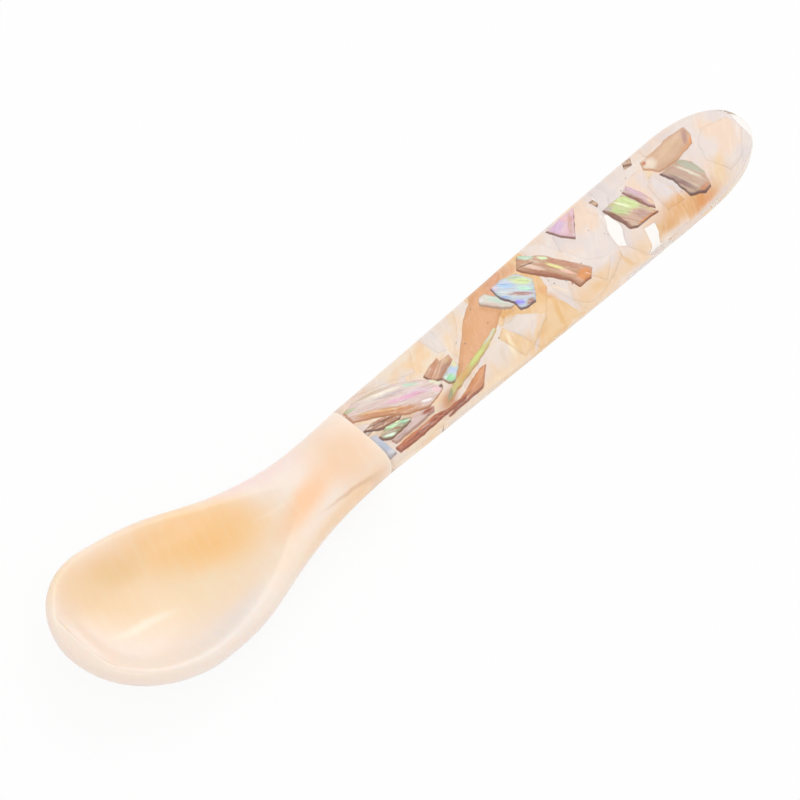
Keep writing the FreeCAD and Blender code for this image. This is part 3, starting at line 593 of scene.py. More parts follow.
class Finish:
    """A material under construction, with its Principled shader and Object coordinates."""

    def __init__(self, name):
        self.material = bpy.data.materials.new(name)
        self.material.use_nodes = True
        self.tree = self.material.node_tree
        self.shader = self.tree.nodes["Principled BSDF"]
        self.place = self.add("ShaderNodeTexCoord").outputs["Object"]

    def add(self, kind, **settings):
        """A new node of this kind, with these settings."""
        node = self.tree.nodes.new(kind)
        for name, value in settings.items():
            setattr(node, name, value)
        return node

    def join(self, output, target):
        self.tree.links.new(output, target)

    def set(self, name, value):
        """One even value for the whole piece."""
        self.shader.inputs[name].default_value = value

    def cells(self, size, detail, stretch=(1, 1, 1), heading=0.0, place=None, rough=0.5):
        """Noise with features of this many millimetres, drawn out along a heading."""
        turned = self.add("ShaderNodeMapping", vector_type="TEXTURE")
        turned.inputs["Rotation"].default_value = (0, 0, math.radians(heading))
        turned.inputs["Scale"].default_value = [MM * size * s for s in stretch]
        self.join(place or self.place, turned.inputs["Vector"])
        grain = self.add("ShaderNodeTexNoise")
        grain.inputs["Scale"].default_value = 1.0
        grain.inputs["Detail"].default_value = detail
        grain.inputs["Roughness"].default_value = rough
        self.join(turned.outputs["Vector"], grain.inputs["Vector"])
        return grain

    def drift(self, size, amount):
        """The object's coordinates, wandering by this many millimetres."""
        grain = self.cells(size, 3.0)
        centred = self.add("ShaderNodeVectorMath", operation="MULTIPLY_ADD")
        self.join(grain.outputs["Color"], centred.inputs[0])
        centred.inputs[1].default_value = (2 * amount * MM,) * 3
        centred.inputs[2].default_value = (-amount * MM,) * 3
        moved = self.add("ShaderNodeVectorMath", operation="ADD")
        self.join(self.place, moved.inputs[0])
        self.join(centred.outputs[0], moved.inputs[1])
        return moved.outputs[0]

    def ramp(self, value, low, high):
        """From 0 where the value is low to 1 where it is high, eased at both."""
        reach = self.add("ShaderNodeMapRange", interpolation_type="SMOOTHSTEP")
        self.join(value, reach.inputs["Value"])
        reach.inputs["From Min"].default_value = low
        reach.inputs["From Max"].default_value = high
        return reach.outputs["Result"]

    def patch(self, place, x, y, heading, length, width, soft):
        """From 1 inside an oval patch of the spoon's plan to 0 outside it."""
        turned = self.add("ShaderNodeMapping", vector_type="TEXTURE")
        turned.inputs["Location"].default_value = ((x + JOINT_AT.x) * MM, (y + JOINT_AT.y) * MM, 0)
        turned.inputs["Rotation"].default_value = (0, 0, math.radians(heading))
        turned.inputs["Scale"].default_value = (length / 2 * MM, width / 2 * MM, 1)
        self.join(place, turned.inputs["Vector"])
        flat = self.add("ShaderNodeVectorMath", operation="MULTIPLY")
        self.join(turned.outputs["Vector"], flat.inputs[0])
        flat.inputs[1].default_value = (1, 1, 0)
        ball = self.add("ShaderNodeTexGradient", gradient_type="SPHERICAL")
        self.join(flat.outputs[0], ball.inputs["Vector"])
        return self.ramp(ball.outputs["Fac"], 0.0, soft)

    def mix(self, share, first, second):
        """The first colour, turning into the second where the share is 1."""
        mixed = self.add("ShaderNodeMix", data_type="RGBA")
        self.join(share, mixed.inputs["Factor"])
        for socket, value in (("A", first), ("B", second)):
            target = next(i for i in mixed.inputs if i.name == socket and i.type == "RGBA")
            if isinstance(value, tuple):
                target.default_value = value
            else:
                self.join(value, target)
        return next(o for o in mixed.outputs if o.type == "RGBA")

    def times(self, value, amount):
        product = self.add("ShaderNodeMath", operation="MULTIPLY")
        self.join(value, product.inputs[0])
        product.inputs[1].default_value = amount
        return product.outputs[0]

    def veil(self, colour, grain, low, high, strength, shade):
        """Lay a shade over a colour where a grain rises, or falls, from low to high."""
        share = self.times(self.ramp(grain.outputs["Fac"], low, high), strength)
        return self.mix(share, colour, paint(*shade))

    def stains_and_painted_light(self, colour, place, patches, soft):
        """Lay oval patches over a colour, stains and nacre colour as well as painted highlights and painted
        shadows: middle, direction, length, width, shade and strength.
        """
        for x, y, turn, length, width, shade, strength in patches:
            spot = self.times(self.patch(place, x, y, turn, length, width, soft), strength)
            colour = self.mix(spot, colour, paint(*shade))
        return colour

    def edge_colour(self, colour, shade, low, high):
        """Colour the broken edge, fading between these distances inside it in millimetres."""
        reach = self.add("ShaderNodeAttribute", attribute_name="rim")
        return self.mix(self.ramp(reach.outputs["Fac"], low, high), paint(*shade), colour)

    def relief(self, height, depth):
        """Bump of this many millimetres."""
        bump = self.add("ShaderNodeBump")
        bump.inputs["Strength"].default_value = 1.0
        bump.inputs["Distance"].default_value = depth * MM
        self.join(height, bump.inputs["Height"])
        self.join(bump.outputs["Normal"], self.shader.inputs["Normal"])


def bowl_shell():
    """Polished mother-of-pearl: cream, with a warm orange heart and pale pinkish edges, a painted highlight
    streak in the scoop, a painted highlight along the neck's crease and a painted shade line along the neck's
    near edge.
    """
    f = Finish("polished_mother_of_pearl")
    place = f.drift(9.0, 1.0)
    colour = f.stains_and_painted_light(paint(246, 228, 214), place, (
        (-32.0, 1.5, -20, 48, 25, (251, 221, 182), 0.90),
        (-43.0, 7.5, -45, 24, 15, (245, 212, 168), 0.90),
        (-28.5, 5.8, -24, 34, 12, (254, 207, 146), 0.90),
        (-25.5, 3.4, -38, 24, 13, (255, 203, 138), 0.90),
        (-38.5, 8.6, -15, 12, 6, (240, 203, 146), 0.70),
        (-34.5, -8.9, 4, 28, 7.5, (238, 230, 224), 0.95),
        (-47.0, -5.5, -50, 10, 6, (242, 230, 218), 0.75),
        # painted highlight: a lamp's reflection as a pale streak in the scoop
        (-41.5, 0.2, -11, 15, 2.6, (254, 240, 220), 0.80),
        (-15.5, 6.2, -22, 26, 6.5, (248, 224, 217), 0.95),
        (-4.5, -1.0, 0, 15, 15, (243, 207, 172), 0.95),
        (-13.0, -2.4, 12, 19, 6.0, (254, 203, 158), 0.95),
        # painted highlight along the crease where the hollow runs up into the neck
        (-16.8, -0.1, -15, 9, 0.8, (255, 228, 204), 0.60),
        (-9.5, -6.9, 8, 26, 3.6, (252, 210, 164), 0.90),
        # painted shade: a darker line along the edge between the neck's flat top and its near side
        (-7.0, -5.5, -2, 16, 0.8, (224, 184, 148), 0.70),
    ), 0.9)
    growth = f.cells(0.9, 4.0, (9, 1, 3), 74.0, place)
    colour = f.veil(colour, growth, 0.42, 0.72, 0.07, (255, 250, 240))
    cloud = f.cells(7.0, 2.0, (2, 1, 1), 20.0)
    colour = f.veil(colour, cloud, 0.5, 0.8, 0.15, (252, 238, 224))
    f.join(colour, f.shader.inputs["Base Color"])
    f.set("Roughness", 0.28)
    f.set("IOR", 1.55)
    f.set("Subsurface Weight", 0.35)
    f.set("Subsurface Radius", (1.0, 0.55, 0.35))
    f.set("Subsurface Scale", 0.0022)
    f.set("Coat Weight", 0.2)
    f.set("Coat Roughness", 0.15)
    polish = f.cells(2.2, 2.0, (4, 1, 1), 74.0)
    f.relief(polish.outputs["Fac"], 0.012)
    return f.material


def clear_resin():
    """Polished clear resin, which bends light a little less than the real one for a calmer look inside."""
    f = Finish("clear_casting_resin")
    f.set("Base Color", paint(255, 251, 247))
    f.set("Transmission Weight", 0.97)
    f.set("IOR", 1.3)
    f.set("Specular IOR Level", 0.9)
    f.set("Roughness", 0.02)
    return f.material


# Stains and painted light and shade in the flakes, as the whole casting shows them: amber towards the near
# side, peach and pale clouds, painted shade among the chips below the lance, and painted shadows and painted
# light lines by the face pieces. Each has its middle, direction, length, width, colour and strength.
FLAKE_STAINS_LIGHT_AND_SHADE = (
    (37.0, -4.8, 0, 76, 3.6, (240, 204, 158), 0.80),
    (58.0, -3.9, -4, 18, 4.6, (228, 172, 106), 0.95),
    (53.6, -4.6, 0, 6, 2.6, (220, 164, 98), 0.85),
    # painted shadow beneath the curved chip
    (60.4, -4.7, 0, 6, 2.2, (224, 150, 80), 0.85),
    (57.6, 2.6, 30, 4.0, 1.8, (238, 210, 162), 0.75),
    (64.8, -3.4, 30, 6, 2.4, (240, 208, 158), 0.70),
    (46.2, -4.4, -62, 3.8, 1.0, (230, 184, 120), 0.75),
    # painted shadow beneath the diamond's lower edge
    (52.2, -3.8, 0, 1.8, 1.6, (236, 190, 128), 0.70),
    (40.2, -4.6, 0, 3.6, 1.4, (236, 190, 130), 0.55),
    (33.6, -4.0, 62, 8, 2.0, (233, 182, 110), 0.85),
    (31.5, -5.4, 0, 11, 2.2, (236, 190, 124), 0.85),
    (34.4, -0.6, -55, 5, 2.0, (228, 168, 102), 0.85),
    (31.8, -2.7, 0, 4.2, 3.6, (240, 208, 168), 0.80),
    (33.0, 4.8, 0, 5, 2.4, (222, 160, 120), 0.75),
    (27.4, -1.3, 0, 3.6, 3.6, (226, 212, 200), 0.80),
    (28.8, -3.8, 40, 4.4, 1.3, (224, 216, 218), 0.70),
    (25.3, -2.8, 75, 4.6, 0.9, (254, 236, 198), 0.85),
    (23.6, -3.4, 55, 3.6, 1.2, (226, 206, 188), 0.70),
    (20.6, -2.0, 20, 3.6, 1.0, (226, 216, 220), 0.65),
    (20.0, -5.0, 0, 14, 1.8, (244, 216, 178), 0.75),
    (10.0, 3.6, 20, 7, 1.6, (238, 202, 160), 0.55),
    (4.0, 5.2, -8, 12, 2.2, (228, 208, 200), 0.70),
    # painted shade among the chips below the lance
    (5.6, -2.4, -14, 13, 4.4, (204, 150, 116), 0.80),
    # painted shade among the chips below the lance's right end
    (13.2, -3.2, 24, 7, 2.8, (202, 138, 92), 0.85),
    (11.6, -0.2, 40, 4, 2.0, (214, 164, 122), 0.65),
    (19.5, 2.6, 60, 6, 1.6, (242, 212, 172), 0.70),
    (17.2, 3.4, 75, 4.4, 1.5, (230, 220, 214), 0.70),
    # painted light: a pale line along the long chip's lower edge
    (36.4, -1.4, -58, 5.2, 0.50, (253, 232, 204), 0.90),
    # painted light: a pale line along the curved chip's edge
    (58.2, -1.8, -78, 5.0, 0.50, (246, 206, 150), 0.85),
    (34.0, -6.4, 0, 72, 1.3, (251, 234, 214), 0.85),
)


def flake_finish(name, base, warm, cool):
    """Translucent mother-of-pearl, with soft clouds, fine growth lines, and stains, painted shadows and
    painted light lines laid over them.
    """
    f = Finish(name)
    place = f.drift(3.0, 0.7)
    cloud = f.cells(4.0, 3.0, (1.8, 1, 1), 35.0, place)
    colour = f.mix(f.ramp(cloud.outputs["Fac"], 0.44, 0.60), paint(*base), paint(*warm))
    other = f.cells(5.0, 3.0, (1, 1.8, 1), 10.0, place)
    colour = f.veil(colour, other, 0.46, 0.60, 0.8, cool)
    colour = f.stains_and_painted_light(colour, place, FLAKE_STAINS_LIGHT_AND_SHADE, 0.85)
    lines = f.cells(0.5, 3.0, (8, 1, 1), 55.0, place)
    colour = f.veil(colour, lines, 0.5, 0.72, 0.20, (255, 248, 240))
    f.join(colour, f.shader.inputs["Base Color"])
    f.set("Roughness", 0.3)
    f.set("Alpha", 0.82)
    f.relief(lines.outputs["Fac"], 0.015)
    return f.material


def abalone_finish(name, growth, base, edge, glow, streaks, patches):
    """Abalone: a base colour, oval patches of nacre colour and painted highlights, fine growth lines, a dark
    near edge.
    """
    f = Finish("abalone_" + name)
    place = f.drift(0.8, 0.18)
    colour = f.stains_and_painted_light(paint(*base), place, patches, 0.62)
    play = f.cells(1.1, 3.0, (4, 1, 1), growth, place)
    colour = f.veil(colour, play, 0.52, 0.62, glow, (206, 232, 196))
    colour = f.veil(colour, play, 0.46, 0.36, glow, (240, 190, 206))
    lines = f.cells(0.26, 4.0, (12, 1, 1), growth, place, 0.6)
    colour = f.veil(colour, lines, 0.52, 0.66, streaks, (255, 246, 234))
    colour = f.veil(colour, lines, 0.46, 0.34, streaks, edge)
    colour = f.edge_colour(colour, edge, 0.04, 0.34)
    f.join(colour, f.shader.inputs["Base Color"])
    f.set("Roughness", 0.18)
    f.set("IOR", 1.6)
    f.set("Coat Weight", 0.3)
    f.relief(lines.outputs["Fac"], 0.04)
    return f.material


# Each abalone piece: direction of its growth lines, base colour, colour of its near edge, play of
# colour, strength of the lines, and patches of colour and painted highlights: middle, direction, length,
# width, colour and strength.
ABALONE_FINISHES = {
    "blade": (12, (210, 168, 134), (206, 150, 108), 0.0, 0.08, (
        (61.5, 3.0, 10, 5.5, 1.8, (222, 184, 146), 0.70), (64.4, 2.6, 52, 3.6, 1.1, (172, 120, 108), 0.80),
        (64.6, 1.5, 30, 2.2, 1.2, (230, 152, 90), 0.95), (63.0, 1.1, 15, 4.0, 0.8, (224, 158, 108), 0.80),
        (57.6, 2.8, 0, 3.6, 2.8, (236, 218, 198), 0.95), (57.4, 3.4, 0, 1.1, 0.8, (200, 116, 72), 0.95))),
    "curved": (-72, (196, 162, 138), (96, 54, 52), 0.06, 0.14, (
        (62.0, -0.9, -70, 6.0, 1.5, (172, 180, 156), 0.90), (61.2, -1.4, -72, 5.2, 0.6, (226, 222, 198), 0.85),
        (60.2, -1.2, -72, 5.6, 1.5, (186, 146, 122), 0.60), (59.4, -2.0, -75, 6.0, 1.1, (132, 88, 84), 0.85),
        (60.9, -4.5, 10, 2.8, 1.1, (200, 122, 72), 0.90))),
    "diamond": (-62, (204, 164, 138), (120, 62, 36), 0.10, 0.26, (
        (51.4, 0.6, -62, 5.0, 2.6, (208, 228, 146), 1.00), (49.8, 0.6, -62, 4.6, 2.2, (188, 210, 130), 0.95),
        # the first patch on this line is a painted highlight streak
        (50.6, 0.9, -62, 3.4, 0.45, (244, 250, 214), 0.95), (48.7, 1.7, -20, 2.0, 1.1, (190, 170, 170), 0.80),
        (51.6, -2.1, -60, 3.2, 2.0, (184, 140, 126), 0.85), (52.8, -2.1, -60, 2.2, 0.9, (208, 184, 120), 0.75),
        (48.8, -0.4, -80, 5.6, 0.9, (126, 68, 42), 0.95), (51.7, -3.1, -5, 4.6, 0.8, (232, 148, 60), 1.00))),
    "strip": (-75, (210, 170, 176), (140, 84, 60), 0.10, 0.20, (
        (53.8, 1.6, -72, 3.0, 1.2, (214, 174, 198), 0.95), (53.1, 0.5, -76, 4.6, 0.6, (150, 90, 60), 0.90),
        (54.2, -1.2, -75, 2.2, 0.9, (234, 192, 150), 0.80))),
    "triangle": (25, (228, 186, 202), (128, 80, 62), 0.12, 0.18, (
        (42.4, 4.7, 20, 3.6, 1.8, (214, 178, 216), 0.90), (44.2, 4.7, -40, 2.8, 1.3, (236, 176, 190), 0.85),
        (43.9, 3.9, 47, 5.0, 0.9, (200, 150, 128), 0.75), (44.5, 3.4, 47, 5.6, 0.8, (112, 66, 50), 0.98))),
    "long": (-64, (196, 146, 110), (150, 82, 44), 0.06, 0.28, (
        (38.3, -0.1, -62, 7.0, 1.1, (190, 124, 88), 0.90), (35.5, 4.3, -50, 3.2, 1.4, (188, 228, 200), 1.00),
        # the first patch on this line is a painted glint, in mint
        (37.0, 2.4, -55, 1.9, 0.7, (216, 242, 190), 0.95), (35.2, 2.2, -58, 4.2, 1.0, (240, 206, 186), 0.90),
        # the first patch on this line is a painted glint, in yellow
        (37.3, 0.2, -64, 3.8, 0.6, (240, 236, 150), 0.95), (37.8, -1.4, -64, 3.4, 0.7, (244, 190, 168), 0.90),
        (34.8, 3.2, -21, 3.2, 0.32, (104, 64, 44), 0.95), (39.2, -3.4, 0, 3.2, 2.4, (222, 136, 48), 1.00),
        (35.9, -0.4, -60, 9.0, 1.2, (168, 86, 40), 0.95))),
    "blue": (-46, (194, 208, 222), (88, 50, 70), 0.14, 0.42, (
        (32.5, 1.9, -48, 4.0, 1.7, (212, 234, 154), 0.95), (32.0, 3.1, -40, 2.6, 1.0, (188, 206, 162), 0.85),
        (31.9, 0.7, -48, 2.8, 1.0, (184, 238, 214), 0.90), (30.4, 2.9, -45, 3.0, 1.5, (164, 204, 242), 0.95),
        (28.9, 3.6, 0, 1.8, 1.3, (224, 208, 234), 0.80), (30.9, 0.4, -42, 4.8, 0.9, (172, 116, 112), 0.95),
        (29.2, 1.4, -40, 2.4, 0.6, (152, 184, 238), 0.90), (29.8, -0.4, -45, 2.2, 1.2, (144, 138, 250), 1.00),
        (31.0, -1.4, 10, 2.0, 1.3, (156, 92, 66), 0.90))),
    "pale": (-55, (216, 214, 200), (176, 146, 124), 0.12, 0.30, (
        (28.2, 2.6, -55, 3.2, 1.3, (198, 224, 208), 0.90), (27.2, 2.4, -50, 3.2, 0.9, (230, 200, 190), 0.85),
        (26.7, 3.9, 0, 1.2, 0.9, (242, 236, 240), 0.90))),
    "broad": (62, (222, 160, 106), (196, 132, 84), 0.0, 0.10, (
        (29.5, 4.2, 25, 8.0, 2.4, (220, 156, 118), 0.70), (23.0, 1.8, 30, 8.0, 2.8, (226, 160, 98), 0.60),
        (16.5, -1.9, 28, 5.6, 1.1, (204, 140, 82), 0.85))),
    "ribbon": (14, (206, 196, 120), (198, 150, 92), 0.0, 0.16, (
        (23.5, -0.8, 18, 4.0, 1.0, (216, 212, 192), 0.95), (20.0, -2.0, 14, 5.0, 0.9, (206, 214, 112), 1.00),
        (16.6, -2.8, 14, 4.6, 1.0, (216, 168, 86), 0.95), (13.0, -3.7, 30, 3.0, 1.1, (148, 148, 112), 0.90))),
    "brown": (10, (214, 146, 98), (150, 78, 50), 0.0, 0.30, (
        (18.5, -3.5, 12, 4.0, 1.2, (224, 152, 98), 0.80), (13.6, -4.7, 4, 6.5, 0.9, (142, 70, 46), 0.80))),
    "mint": (18, (196, 214, 210), (150, 112, 82), 0.12, 0.20, (
        (16.6, -1.0, 15, 1.6, 1.4, (234, 228, 178), 0.90), (15.7, -1.7, 15, 1.7, 1.7, (186, 206, 240), 0.95),
        # the last patch here is a painted glint
        (14.7, -2.4, 20, 1.7, 1.5, (146, 224, 162), 1.00), (14.2, -1.8, 0, 0.9, 0.5, (228, 252, 238), 1.00))),
    "notch": (26, (206, 154, 118), (134, 78, 48), 0.0, 0.30, (
        (14.3, 0.7, 28, 4.0, 1.1, (194, 126, 84), 0.90), (15.6, -0.3, 25, 4.0, 1.3, (176, 122, 96), 0.90),
        (16.6, 0.4, 25, 1.8, 0.7, (216, 182, 132), 0.75))),
    "lance": (-24, (222, 198, 192), (190, 128, 82), 0.12, 0.34, (
        (5.4, 3.4, -17, 8.0, 0.7, (206, 190, 158), 0.85), (1.0, 3.7, -20, 3.4, 0.8, (176, 186, 136), 0.90),
        # the first patch on this line is a painted highlight along the ridge
        (6.4, 2.5, -20, 7.5, 0.7, (244, 236, 218), 0.90), (6.8, 1.6, -22, 7.0, 0.7, (194, 174, 180), 0.85),
        (10.1, -0.8, -30, 5.0, 1.5, (228, 204, 220), 0.85), (10.0, 0.8, -38, 3.2, 0.8, (182, 216, 188), 0.95),
        (8.0, -0.2, -24, 7.5, 1.1, (232, 168, 200), 0.95), (12.7, -1.3, -50, 2.0, 0.9, (236, 240, 210), 0.95),
        (12.1, -2.3, -40, 1.8, 1.1, (244, 198, 206), 0.90), (4.9, -0.2, -33, 13.0, 2.0, (204, 134, 70), 1.00),
        # painted highlight: a golden line
        (4.2, 0.7, -33, 8.0, 0.4, (236, 190, 124), 0.90),
        # the first patch on this line is a painted highlight
        (9.9, -2.5, -25, 2.2, 0.5, (255, 248, 250), 1.00), (12.9, -2.3, 0, 0.9, 0.7, (88, 46, 22), 1.00))),
    "lump": (-22, (150, 150, 104), (112, 68, 34), 0.30, 0.50, (
        # the second patch on this line is a painted glint
        (1.8, -2.0, -10, 2.2, 1.0, (182, 180, 120), 0.85), (3.6, -2.1, -20, 2.6, 0.8, (196, 246, 190), 1.00),
        # the second patch on this line is a painted highlight streak
        (5.2, -2.6, -25, 2.4, 0.8, (150, 216, 176), 0.95), (2.4, -3.0, -22, 2.6, 0.6, (224, 252, 226), 1.00),
        (3.9, -2.9, -22, 2.0, 0.5, (158, 104, 54), 0.90), (4.8, -3.3, 0, 1.5, 0.7, (126, 70, 30), 0.95),
        # painted glint
        (4.7, -2.2, -22, 1.2, 0.4, (240, 250, 186), 1.00))),
    "root": (-14, (178, 122, 88), (110, 62, 42), 0.0, 0.50, (
        (3.2, -0.3, -14, 5.0, 0.40, (106, 60, 40), 0.90), (1.6, 0.2, 0, 2.4, 0.5, (164, 132, 102), 0.80))),
    "red": (0, (192, 104, 62), (150, 72, 42), 0.0, 0.30, (
        (8.0, -4.9, 0, 13.0, 0.35, (124, 50, 30), 0.90), (6.0, -4.5, 0, 9.0, 0.30, (214, 140, 96), 0.85))),
    "mauve": (-6, (216, 190, 184), (174, 132, 116), 0.0, 0.20, (
        (9.3, -3.4, -10, 3.0, 1.0, (162, 76, 46), 0.95), (4.0, -3.6, 0, 3.4, 0.7, (196, 168, 166), 0.75))),
    "collar": (-88, (196, 204, 220), (172, 162, 162), 0.08, 0.15, (
        (1.0, -3.0, -88, 3.4, 0.8, (180, 194, 220), 0.85), (1.0, -4.4, 0, 1.6, 1.0, (216, 218, 228), 0.80))),
    "wedge": (-35, (230, 214, 208), (196, 164, 144), 0.05, 0.10, (
        (1.6, 0.8, -35, 2.4, 1.2, (238, 228, 224), 0.80),)),
    "under_blade": (40, (196, 172, 150), (130, 84, 60), 0.25, 0.20, (
        (11.0, 0.0, 40, 6.0, 2.0, (170, 205, 180), 0.80),)),
    "under_leaf": (-8, (190, 165, 150), (130, 84, 60), 0.25, 0.20, (
        (27.5, 2.0, -8, 5.0, 2.0, (205, 170, 200), 0.80),)),
    "under_shard": (20, (200, 170, 140), (130, 84, 60), 0.25, 0.20, (
        (39.5, -1.0, 20, 5.0, 2.0, (170, 195, 215), 0.80),)),
    "under_tip": (-35, (192, 160, 130), (130, 84, 60), 0.25, 0.20, (
        (59.0, 0.0, -35, 5.0, 2.0, (200, 210, 150), 0.80),)),
}


def crumb_finish():
    """Crumbs of the outer shell, streaked from brown to tan."""
    f = Finish("shell_crumbs")
    grain = f.cells(0.5, 3.0, (5, 1, 1), -20.0)
    colour = f.mix(f.ramp(grain.outputs["Fac"], 0.42, 0.60), paint(128, 84, 62), paint(206, 172, 144))
    f.join(colour, f.shader.inputs["Base Color"])
    f.set("Roughness", 0.4)
    return f.material


def dress(piece, material, slot, *nodes):
    """Give a piece its finish and its body, and hide the CAD nodes that it stands for. The slot is not used.
    """
    piece.data.materials.append(material)
    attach(piece, "root")
    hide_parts(*nodes)


def let_light_in(piece):
    """Light reaches what lies below this piece, as it does through clear resin and thin shell."""
    piece.visible_shadow = False
    piece.visible_diffuse = False


def scatter_crumbs(count, smallest, largest, lowest, highest, material):
    """Crumbs of shell spread through a box of the casting, made by Geometry Nodes."""
    tree = bpy.data.node_groups.new("scattered_crumbs", "GeometryNodeTree")
    inputs = (("Count", "NodeSocketInt", count), ("Seed", "NodeSocketInt", 5),
              ("Smallest", "NodeSocketFloat", smallest), ("Largest", "NodeSocketFloat", largest),
              ("Lowest corner", "NodeSocketVector", lowest), ("Highest corner", "NodeSocketVector", highest),
              ("Material", "NodeSocketMaterial", material))
    keys = {name: tree.interface.new_socket(name, in_out="INPUT", socket_type=kind).identifier
            for name, kind, _ in inputs}
    tree.interface.new_socket("Geometry", in_out="OUTPUT", socket_type="NodeSocketGeometry")
    given = tree.nodes.new("NodeGroupInput").outputs
    join = tree.links.new
    place = tree.nodes.new("FunctionNodeRandomValue")
    place.data_type = "FLOAT_VECTOR"
    join(given["Lowest corner"], place.inputs[0])
    join(given["Highest corner"], place.inputs[1])
    join(given["Seed"], place.inputs["Seed"])
    size = tree.nodes.new("FunctionNodeRandomValue")
    join(given["Smallest"], size.inputs[2])
    join(given["Largest"], size.inputs[3])
    join(given["Seed"], size.inputs["Seed"])
    turn = tree.nodes.new("FunctionNodeRandomValue")
    turn.data_type = "FLOAT_VECTOR"
    turn.inputs[1].default_value = (math.tau,) * 3
    join(given["Seed"], turn.inputs["Seed"])
    points = tree.nodes.new("GeometryNodePoints")
    join(given["Count"], points.inputs["Count"])
    join(place.outputs[0], points.inputs["Position"])
    crumb = tree.nodes.new("GeometryNodeMeshIcoSphere")
    crumb.inputs["Radius"].default_value = 1.0
    crumb.inputs["Subdivisions"].default_value = 1
    flat = tree.nodes.new("GeometryNodeTransform")
    flat.inputs["Scale"].default_value = (1.0, 0.6, 0.4)
    join(crumb.outputs["Mesh"], flat.inputs["Geometry"])
    spread = tree.nodes.new("GeometryNodeInstanceOnPoints")
    join(points.outputs[0], spread.inputs["Points"])
    join(flat.outputs["Geometry"], spread.inputs["Instance"])
    join(turn.outputs[0], spread.inputs["Rotation"])
    join(size.outputs[1], spread.inputs["Scale"])
    real = tree.nodes.new("GeometryNodeRealizeInstances")
    join(spread.outputs["Instances"], real.inputs["Geometry"])
    coloured = tree.nodes.new("GeometryNodeSetMaterial")
    join(real.outputs["Geometry"], coloured.inputs["Geometry"])
    join(given["Material"], coloured.inputs["Material"])
    join(coloured.outputs["Geometry"], tree.nodes.new("NodeGroupOutput").inputs["Geometry"])
    crumbs = bpy.data.objects.new("shell_crumbs", bpy.data.meshes.new("shell_crumbs"))
    bpy.context.scene.collection.objects.link(crumbs)
    scatter = crumbs.modifiers.new("scatter", "NODES")
    scatter.node_group = tree
    for name, _, value in inputs:
        scatter[keys[name]] = value
    shown = crumbs.evaluated_get(bpy.context.evaluated_depsgraph_get())
    mesh = bpy.data.meshes.new_from_object(shown)
    crumbs.modifiers.remove(scatter)
    crumbs.data = mesh
    return crumbs


# How each kind of shell breaks: its thickness, the radius of its curl, its ripples' height, how far
# its broken edge wanders, and the distance between its points.
ABALONE_STOCK = {"thickness": 0.75, "curl": 16.0, "ripple": 0.12, "wander": 0.14, "step": 0.42}
PEARL_STOCK = {"thickness": 0.60, "curl": 90.0, "ripple": 0.02, "wander": 0.22, "step": 0.60}
SPLINTER_STOCK = {"thickness": 0.40, "curl": 30.0, "ripple": 0.05, "wander": 0.05, "step": 0.30}
SPLINTER_HEADING = 60

# Each flake finish has a base colour, warm clouds and cool clouds.
PEARL_FINISHES = {
    "rose": ((234, 221, 213), (239, 212, 190), (225, 214, 214)),
    "cream": ((240, 222, 200), (241, 206, 164), (231, 219, 212)),
    "amber": ((235, 192, 134), (229, 173, 104), (241, 211, 170)),
}

CRUMBS = 70
CRUMB_SIZES = (0.06 * MM, 0.22 * MM)
CRUMB_CORNERS = ((2.5, -4.2, 3.8), (64.0, 4.2, 5.6))


def set_abalone():
    """The abalone chips, near the casting's face and near its back."""
    for number, (name, layer, heading, roll, outline) in enumerate(ABALONE):
        piece = shell_piece("abalone_chip_" + name, layer, heading, roll, outline,
                            number * 3.7, **ABALONE_STOCK)
        dress(piece, abalone_finish(name, *ABALONE_FINISHES[name]), "abalone_shell", "abalone_" + name)
        let_light_in(piece)


def set_pearl(finishes):
    """The flakes of mother-of-pearl that fill the casting."""
    for number, (kind, layer, heading, roll, outline) in enumerate(PEARL, start=1):
        piece = shell_piece("pearl_chip_%02d" % number, layer, heading, roll, outline,
                            100 + number * 2.3, **PEARL_STOCK)
        dress(piece, finishes[kind], "pearl_flakes", "pearl_flake_%02d" % number)
        let_light_in(piece)


def set_splinters(finishes):
    """The splinters, which are too small to be solids of the CAD."""
    for number, (name, layer, kind, outline) in enumerate(SPLINTERS):
        piece = shell_piece(name, layer, SPLINTER_HEADING, 0, outline, 200 + number, **SPLINTER_STOCK)
        piece.data.materials.append(finishes[kind])
        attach(piece, "root")
        let_light_in(piece)


def set_crumbs(material):
    """The crumbs in the clear resin between the abalone chips."""
    crumbs = scatter_crumbs(CRUMBS, *CRUMB_SIZES, *to_metres(CRUMB_CORNERS), material)
    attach(crumbs, "root")
    let_light_in(crumbs)


def make_spoon():
    """The bowl, the casting and all that is set in it."""
    dress(carve_bowl(), bowl_shell(), "mother_of_pearl", "bowl")
    casting = cast_handle()
    dress(casting, clear_resin(), "clear_resin", "handle_resin")
    let_light_in(casting)
    set_abalone()
    finishes = {kind: flake_finish(kind + "_pearl", *shades) for kind, shades in PEARL_FINISHES.items()}
    set_pearl(finishes)
    finishes["crumbs"] = crumb_finish()
    set_splinters(finishes)
    set_crumbs(finishes["crumbs"])


def seen_as_white(tree):
    """1 for rays from the camera, straight, reflected or refracted."""
    path = tree.nodes.new("ShaderNodeLightPath")
    seen = path.outputs["Is Camera Ray"]
    for kind in ("Is Glossy Ray", "Is Transmission Ray"):
        either = tree.nodes.new("ShaderNodeMath")
        either.operation = "MAXIMUM"
        tree.links.new(seen, either.inputs[0])
        tree.links.new(path.outputs[kind], either.inputs[1])
        seen = either.outputs[0]
    return seen


# The studio is in metres. The sweep has a size, a drop below the spoon, a paint, and a share of plain
# white that the camera sees on it.
FLOOR_SIZE = 6.0
FLOOR_DROP = 0.08 * MM
FLOOR_PAINT = (0.9, 0.9, 0.9, 1)
FLOOR_GLOW = 0.9
# The strength of the room's even light.
ROOM_LIGHT = 0.82
